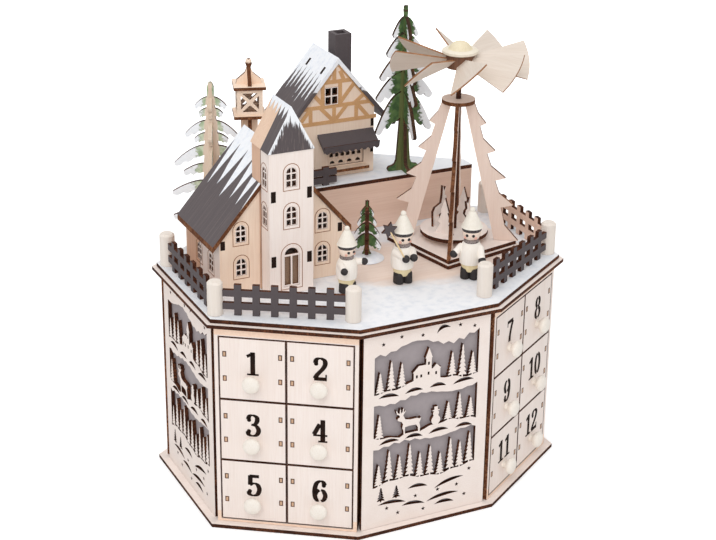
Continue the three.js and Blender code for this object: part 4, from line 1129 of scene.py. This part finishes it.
def tree_paint(name, tree, leaves, trunk):
    """Trunk wood in the middle, leaf paint beside it and snow on the outer boughs.

    The plate's x runs across it and y up; the tree's measures are in millimetres."""
    height, foot, reach = (tree[key] * MM for key in ("height", "foot", "reach"))
    graph = Graph(name)
    mottle = graph.noise((180.0, 180.0, 180.0), 4.0)
    leaf = graph.mix(graph.between(mottle, 0.3, 0.7), *leaves)
    out, up = graph.maths("ABSOLUTE", graph.axis("X")), graph.axis("Y")
    taper = graph.linear(up, -0.75 * reach / height, reach)
    share = graph.maths("DIVIDE", out, graph.larger(taper, 0.002))
    ragged = graph.linear(graph.noise((240.0, 420.0, 240.0), 4.0), 0.9, -0.45)
    snowline = tree["snowline"]
    cover = graph.between(graph.plus(share, ragged), snowline, snowline + 0.14)
    bark, _ = grain_colour(graph, *trunk, "Y")
    left_above = graph.larger(graph.linear(up, -1 / height, 1.0), 0.0)
    stem = graph.times(graph.maths("POWER", left_above, tree["waist"]), foot)
    past = graph.between(graph.minus(out, stem), 0.0, 0.0012)
    tip = graph.between(up, height * 0.9, height * 0.94)
    colour = graph.mix(graph.larger(past, tip), bark, leaf)
    cover = graph.times(cover, graph.minus(1.0, tip))
    return graph.shade(graph.mix(cover, colour, WHITE), 0.72, graph.plus(mottle, cover), 0.0004)


def bough(stem, start, tip, reach, thick):
    """A drooping bough: out along its scalloped underside to the tip and back over its convex top."""
    steps, lobes, sag = 15, 3, min(0.2 * thick, 3.0)

    def along(share):
        return stem + (reach - stem) * share

    def under(share):
        hang = sag * min(1.0, 2 * share) * abs(math.sin(lobes * math.pi * share))
        return start - thick + (tip - 1 - start + thick) * share ** 1.2 - hang

    out = [(along(k / steps), under(k / steps)) for k in range(steps)]
    back = [(along(k / 8), start + (tip + 1.6 - start) * (k / 8) ** 1.7) for k in range(8, -1, -1)]
    return out + [(reach, tip - 0.6), (reach + 0.3, tip + 0.8)] + back


def fir_outline(tree, cross):
    """Outline of a fir plate: roots, bare trunk, boughs from the lowest up, the tip, and down again."""
    height, foot = tree["height"], tree["foot"]
    points = [(x * foot, z * foot) for x, z in tree["roots"]]
    for start, tip, reach, thick in tree["boughs"]:
        stem = foot * (1 - start / height) ** tree["waist"]
        points += bough(stem, start, tip, max(reach * cross, stem + 2), thick)
    points += [(foot * 0.3, height * 0.97), (foot * 0.16, height * 0.995), (0.01, height)]
    return points + mirrored(points)


# Roots are in units of the trunk's half width. Each bough has its start and tip in height, its reach and its
# thickness
FLARED_ROOTS = [(1.8, 0), (1.5, 0.3), (1.15, 0.8), (0.95, 1.6)]
LOBED_ROOTS = [(2.3, 0), (2.45, 0.35), (2.25, 0.7), (1.7, 0.8), (1.3, 1.05), (1.08, 1.6), (1.0, 2.6)]
# foot is the trunk's half width at the ground, which narrows as a power waist of the height that is left;
# cross is the second plate's reach as a share of the first's, and snowline the share where snow begins
TREES = {
    "tall": {
        "place": (69.5, 65, DECK + TERRACE["height"]), "turn": -4, "height": 137, "foot": 5.5, "waist": 0.7,
        "reach": 26, "cross": 1, "snowline": 0.64, "roots": LOBED_ROOTS,
        "boughs": [(66, 34, 24, 21), (83, 62, 24, 15.5), (99, 79, 21, 14.5), (114, 98, 15.5, 13),
                   (128, 113, 10.5, 10.5)]},
    "left": {
        "place": (-92, 76, DECK), "turn": -26, "height": 133, "foot": 9.0, "waist": 0.5,
        "reach": 31, "cross": 0.7, "snowline": 0.55, "roots": FLARED_ROOTS,
        "boughs": [(30, 22, 31, 7), (41, 35, 19, 6), (53, 42, 31, 7), (67, 59, 22, 7), (82, 66, 29, 8),
                   (92, 86, 13, 6), (102, 90, 20, 7), (112, 107, 9, 6), (121, 113, 12, 6)]},
    "small": {
        "place": (*MOUND, DECK + 3.6), "turn": -26, "height": 44.6, "foot": 2.2, "waist": 0.7,
        "reach": 14, "cross": 1, "snowline": 0.6, "roots": FLARED_ROOTS,
        "boughs": [(17, 6, 11, 9), (26, 16, 9.4, 5.8), (34, 25, 7.2, 5), (40, 33, 5, 3.6)]},
}


def fir_tree(kind, leaves, trunk, edges):
    """Two crossed plates at the CAD tree's place; edges are the cut edges of the one and of the other."""
    tree, node = TREES[kind], f"tree_{kind}"
    paint = tree_paint(f"{kind}_tree_paint", tree, leaves, trunk)
    for name, spin, share, edge in (("plate", 0, 1, edges[0]), ("cross", 90, tree["cross"], edges[1])):
        place = wall(*tree["place"], tree["turn"] + spin)
        outline = fir_outline(tree, share)
        piece = plate(f"{node}_{name}", [outline], PLY, place, paint, edge, base=-PLY / 2)
        if spin == 0:
            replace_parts(piece, node)


def trees():
    green, brown = (tone(92, 122, 68), tone(50, 78, 40)), (tone(104, 110, 62), tone(70, 82, 44))
    pale_green, beige = (tone(214, 220, 198), tone(150, 174, 132)), (tone(232, 212, 194), tone(216, 194, 174))
    bark = burnt_edge("bark_edge", tone(60, 44, 34), tone(120, 84, 58))
    pale = burnt_edge("pale_edge", tone(214, 192, 170), tone(230, 212, 194))
    fir_tree("tall", green, brown, (bark, bark))
    fir_tree("left", pale_green, beige, (scorched, pale))
    fir_tree("small", green, brown, (scorched, scorched))
    mound = [(0, 0), (13, 0), (12.2, 1.4), (8.6, 3.3), (4, 4.0), (0, 4)]
    turned("tree_mound", mound, shift(*MOUND, DECK), snow, steps=3)


# Figures


TALL = 57.0                     # height of the caroler that the measures below are for, facing -Y
# Name, place, turn, height, and the two hands in the caroler's own frame
FIGURES = [
    ("caroler_left", (-36, -52), 8, 52, ((-9.2, -10.5, 22.5), (12.4, -7.2, 25.8))),
    ("caroler_middle", (10, -53), -7, 57, ((-1.4, -11.2, 22.6), (5.0, -11.0, 22.8))),
    ("caroler_right", (61, -67), -38, 57, ((-12.0, -7.0, 20.4), (9.9, -8.0, 17.4))),
]
BOOT = [(0, 0), (3.4, 0), (3.8, 1.0), (3.7, 6.0), (3.2, 8.4), (0, 8.8)]
# Turned parts from the trousers up, each with the steps that round off its outline
CAROLER = {
    "trousers": (2, [(0, 5.5), (5.6, 5.8), (6.6, 8.5), (6.9, 12.5), (0, 12.5)]),
    "coat": (3, [(0, 12), (7.4, 12), (8.4, 13.2), (8.9, 18), (8.6, 23), (7.2, 27.2), (4.8, 29.6), (0, 30)]),
    "scarf": (2, [(0, 28.2), (4.8, 28.2), (5.8, 29.4), (5.8, 30.6), (4.8, 31.8), (0, 31.8)]),
    "head": (3, [(0, 30.4), (3.4, 30.8), (5.8, 32.8), (6.9, 36), (6.6, 39.4), (5, 41.5), (0, 42)]),
    "band": (1, [(0, 37.9), (6.7, 37.9), (7.4, 39.0), (7.5, 41.0), (6.8, 42.2), (0, 42.2)]),
    "hat": (3, [(0, 41), (7.7, 41), (7.8, 42), (6.0, 46.2), (3.3, 51.6), (2.0, 53.6), (0, 54.4)]),
}
STAR_AT, STAR_RADIUS = Vector((-13.2, -6.0, 45.5)), 6.4


def ball(name, centre, radius, matrix, material):
    """A small turned bead."""
    profile = [(max(x, 0.0), y) for x, y in arc((0, 0), (radius, radius), -90, 90, 12)]
    return turned(name, profile, matrix @ shift(*centre), material, segments=20)


def knitted(name, light, dark):
    """A knitted band: rows of small dark stitches on a paler ground."""
    graph = Graph(name)
    spots = graph.node("ShaderNodeTexVoronoi", {"Vector": graph.coords, "Scale": 900.0})
    stitches = spots.outputs["Distance"]
    return graph.shade(graph.mix(graph.between(stitches, 0.25, 0.5), dark, light), 0.85, stitches, 0.0003)


def limb(name, start, end, radii, matrix, material):
    """A tapering round rod with soft ends between two points, in millimetres."""
    way = Vector(end) - Vector(start)
    length = way.length
    first, last = radii
    profile = [(0, -first * 0.6), (first * 0.8, -first * 0.3), (first, 0.6),
               (last, length - 0.5), (last * 0.7, length), (0, length + 0.1)]
    turn = way.to_track_quat("Z", "Y").to_matrix().to_4x4()
    return turned(name, profile, matrix @ shift(*start) @ turn, material, segments=24)


def star_on_stick(name, spot, hand):
    stick = wood("star_stick", tone(238, 214, 170), tone(216, 184, 136))
    grip = Vector(hand) + Vector((-1.5, -0.5, 1.5))
    limb(f"{name}_stick", grip, STAR_AT, (0.6, 0.6), spot, stick)
    place = spot @ shift(*STAR_AT) @ rotation(12, "Y") @ rotation(90, "X")
    plate(f"{name}_star", [star_shape(0, 0, STAR_RADIUS, 6, 0.55)], 2, place, slate, scorched, base=-1)


def caroler_looks():
    """Materials of the carolers by the part that each is on."""
    return {
        "trousers": wood("caroler_trousers", tone(238, 222, 180), tone(222, 202, 154), roughness=0.5),
        "coat": wood("caroler_coat", tone(252, 246, 238), tone(242, 232, 220), roughness=0.5),
        "scarf": knitted("caroler_scarf", tone(150, 138, 134), tone(84, 74, 74)),
        "head": wood("caroler_face", tone(250, 232, 217), tone(245, 221, 203), roughness=0.45),
        "band": knitted("caroler_band", tone(84, 78, 78), tone(26, 24, 28)),
        "hat": wood("caroler_hat", tone(244, 238, 227), tone(230, 221, 206), roughness=0.55),
        "black": painted("caroler_black", tone(40, 34, 34), tone(66, 58, 56), wear=0.8),
        "blush": wood("caroler_blush", tone(240, 186, 168), tone(232, 174, 156), roughness=0.5),
    }


def figures():
    looks = caroler_looks()
    black = looks["black"]
    sides = ((0, -1), (1, 1))
    for name, place, turn, height, hands in FIGURES:
        spot = shift(*place, DECK) @ rotation(turn) @ Matrix.Scale(height / TALL, 4)
        long = spot @ Matrix.Diagonal((1, 1.35, 1, 1))
        boots = [turned(f"{name}_boot_{k}", BOOT, long @ shift(side * 3.5, -1.2), black, steps=2)
                 for k, side in sides]
        for part, (steps, profile) in CAROLER.items():
            turned(f"{name}_{part}", profile, spot, looks[part], steps=steps)
        ball(f"{name}_pompom", (0, 0, 54.8), 2.2, spot, looks["hat"])
        for k, side in sides:
            ball(f"{name}_eye_{k}", (side * 2.4, -6.4, 36.0), 1.15, spot, black)
            ball(f"{name}_blush_{k}", (side * 3.9, -5.1, 33.9), 1.1, spot, looks["blush"])
            ball(f"{name}_hand_{k}", hands[k], 3.0, spot, black)
            limb(f"{name}_arm_{k}", (side * 6.8, -1.5, 25.2), hands[k], (3.1, 2.5), spot, looks["coat"])
        ball(f"{name}_nose", (0, -7.2, 35.0), 0.75, spot, looks["head"])
        if name == "caroler_middle":
            star_on_stick(name, spot, hands[0])
        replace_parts(boots[0], name)


# The studio


CAMERA_AT = (-0.5439, -1.1128, 0.6947)
AZIMUTH, ELEVATION, ROLL = -25.996, 23.267, 0.723
FOCAL_SHARE = 1723.767 / 716       # focal length over the picture's width
SENSOR = 36.0
FLOOR = 6.0                        # half the floor's width, in metres


def camera():
    (across, deep), (level, height) = circle_point(AZIMUTH - 90), circle_point(ELEVATION)
    cosine, sine = circle_point(ROLL)
    back = Vector((across * level, deep * level, height))
    right = Vector((0, 0, 1)).cross(back).normalized()
    up = back.cross(right)
    axes = (right * cosine + up * sine, up * cosine - right * sine, back)
    data = bpy.data.cameras.new("camera")
    data.sensor_fit, data.sensor_width, data.lens = "HORIZONTAL", SENSOR, SENSOR * FOCAL_SHARE
    data.clip_start, data.clip_end = 0.05, 20
    eye = new_object("camera", data)
    eye.matrix_world = Matrix.Translation(CAMERA_AT) @ Matrix(axes).transposed().to_4x4()
    bpy.context.scene.camera = eye


def lamp(name, place, aim, size, watts):
    data = bpy.data.lights.new(name, "AREA")
    data.shape, data.size, data.energy = "SQUARE", size, watts
    light = new_object(name, data)
    light.location = place
    light.rotation_euler = (Vector(aim) - Vector(place)).to_track_quat("-Z", "Y").to_euler()


def paper_floor():
    mesh = bpy.data.meshes.new("floor")
    corners = [(x * FLOOR, y * FLOOR, 0) for x, y in ((-1, -1), (1, -1), (1, 1), (-1, 1))]
    mesh.from_pydata(corners, [], [(0, 1, 2, 3)])
    floor = new_object("floor", mesh)
    graph = Graph("studio_floor")
    paper = graph.noise((40.0, 40.0, 40.0), 2.0)
    tint = graph.mix(paper, tone(252, 252, 252), tone(249, 249, 249))
    away = graph.node("ShaderNodeVectorMath", {0: graph.coords}, operation="LENGTH").outputs["Value"]
    haze = graph.linear(graph.between(away, 0.35, 1.6), 0.9, 0.3)
    haze = graph.times(haze, graph.node("ShaderNodeLightPath").outputs["Is Camera Ray"])
    glow = {"Emission Color": (1, 1, 1, 1), "Emission Strength": haze}
    mesh.materials.append(graph.shade(tint, 0.9, paper, 0.00002, **glow))


def white_sky():
    """White all round: full strength where it is seen, itself or in gloss, and about half as a light."""
    world = bpy.data.worlds.new("studio")
    bpy.context.scene.world = world
    world.use_nodes = True
    nodes, links = world.node_tree.nodes, world.node_tree.links
    nodes.clear()
    path = nodes.new("ShaderNodeLightPath")
    seen = nodes.new("ShaderNodeMath")
    seen.operation = "MAXIMUM"
    links.new(path.outputs["Is Camera Ray"], seen.inputs[0])
    links.new(path.outputs["Is Glossy Ray"], seen.inputs[1])
    strength = nodes.new("ShaderNodeMapRange")
    links.new(seen.outputs[0], strength.inputs["Value"])
    strength.inputs["To Min"].default_value = 0.49
    strength.inputs["To Max"].default_value = 1.0
    sky = nodes.new("ShaderNodeBackground")
    sky.inputs["Color"].default_value = (1, 1, 1, 1)
    links.new(strength.outputs["Result"], sky.inputs["Strength"])
    links.new(sky.outputs["Background"], nodes.new("ShaderNodeOutputWorld").inputs["Surface"])


def studio():
    paper_floor()
    lamp("key", (-1.1, -1.5, 1.9), (0, 0, 0.15), 1.6, 28)
    lamp("fill", (1.7, -1.1, 1.1), (0, 0, 0.15), 1.6, 3.5)
    lamp("top", (0.1, 0.4, 2.2), (0, 0, 0.2), 1.8, 13.5)
    white_sky()
    bpy.context.scene.view_settings.view_transform = "Standard"


body_plates()
racks_and_drawers()
fences()
church_walls()
church_roofs()
terrace()
house()
lantern()
pyramid_frame()
rotor()
spindle()
trees()
figures()
camera()
studio()
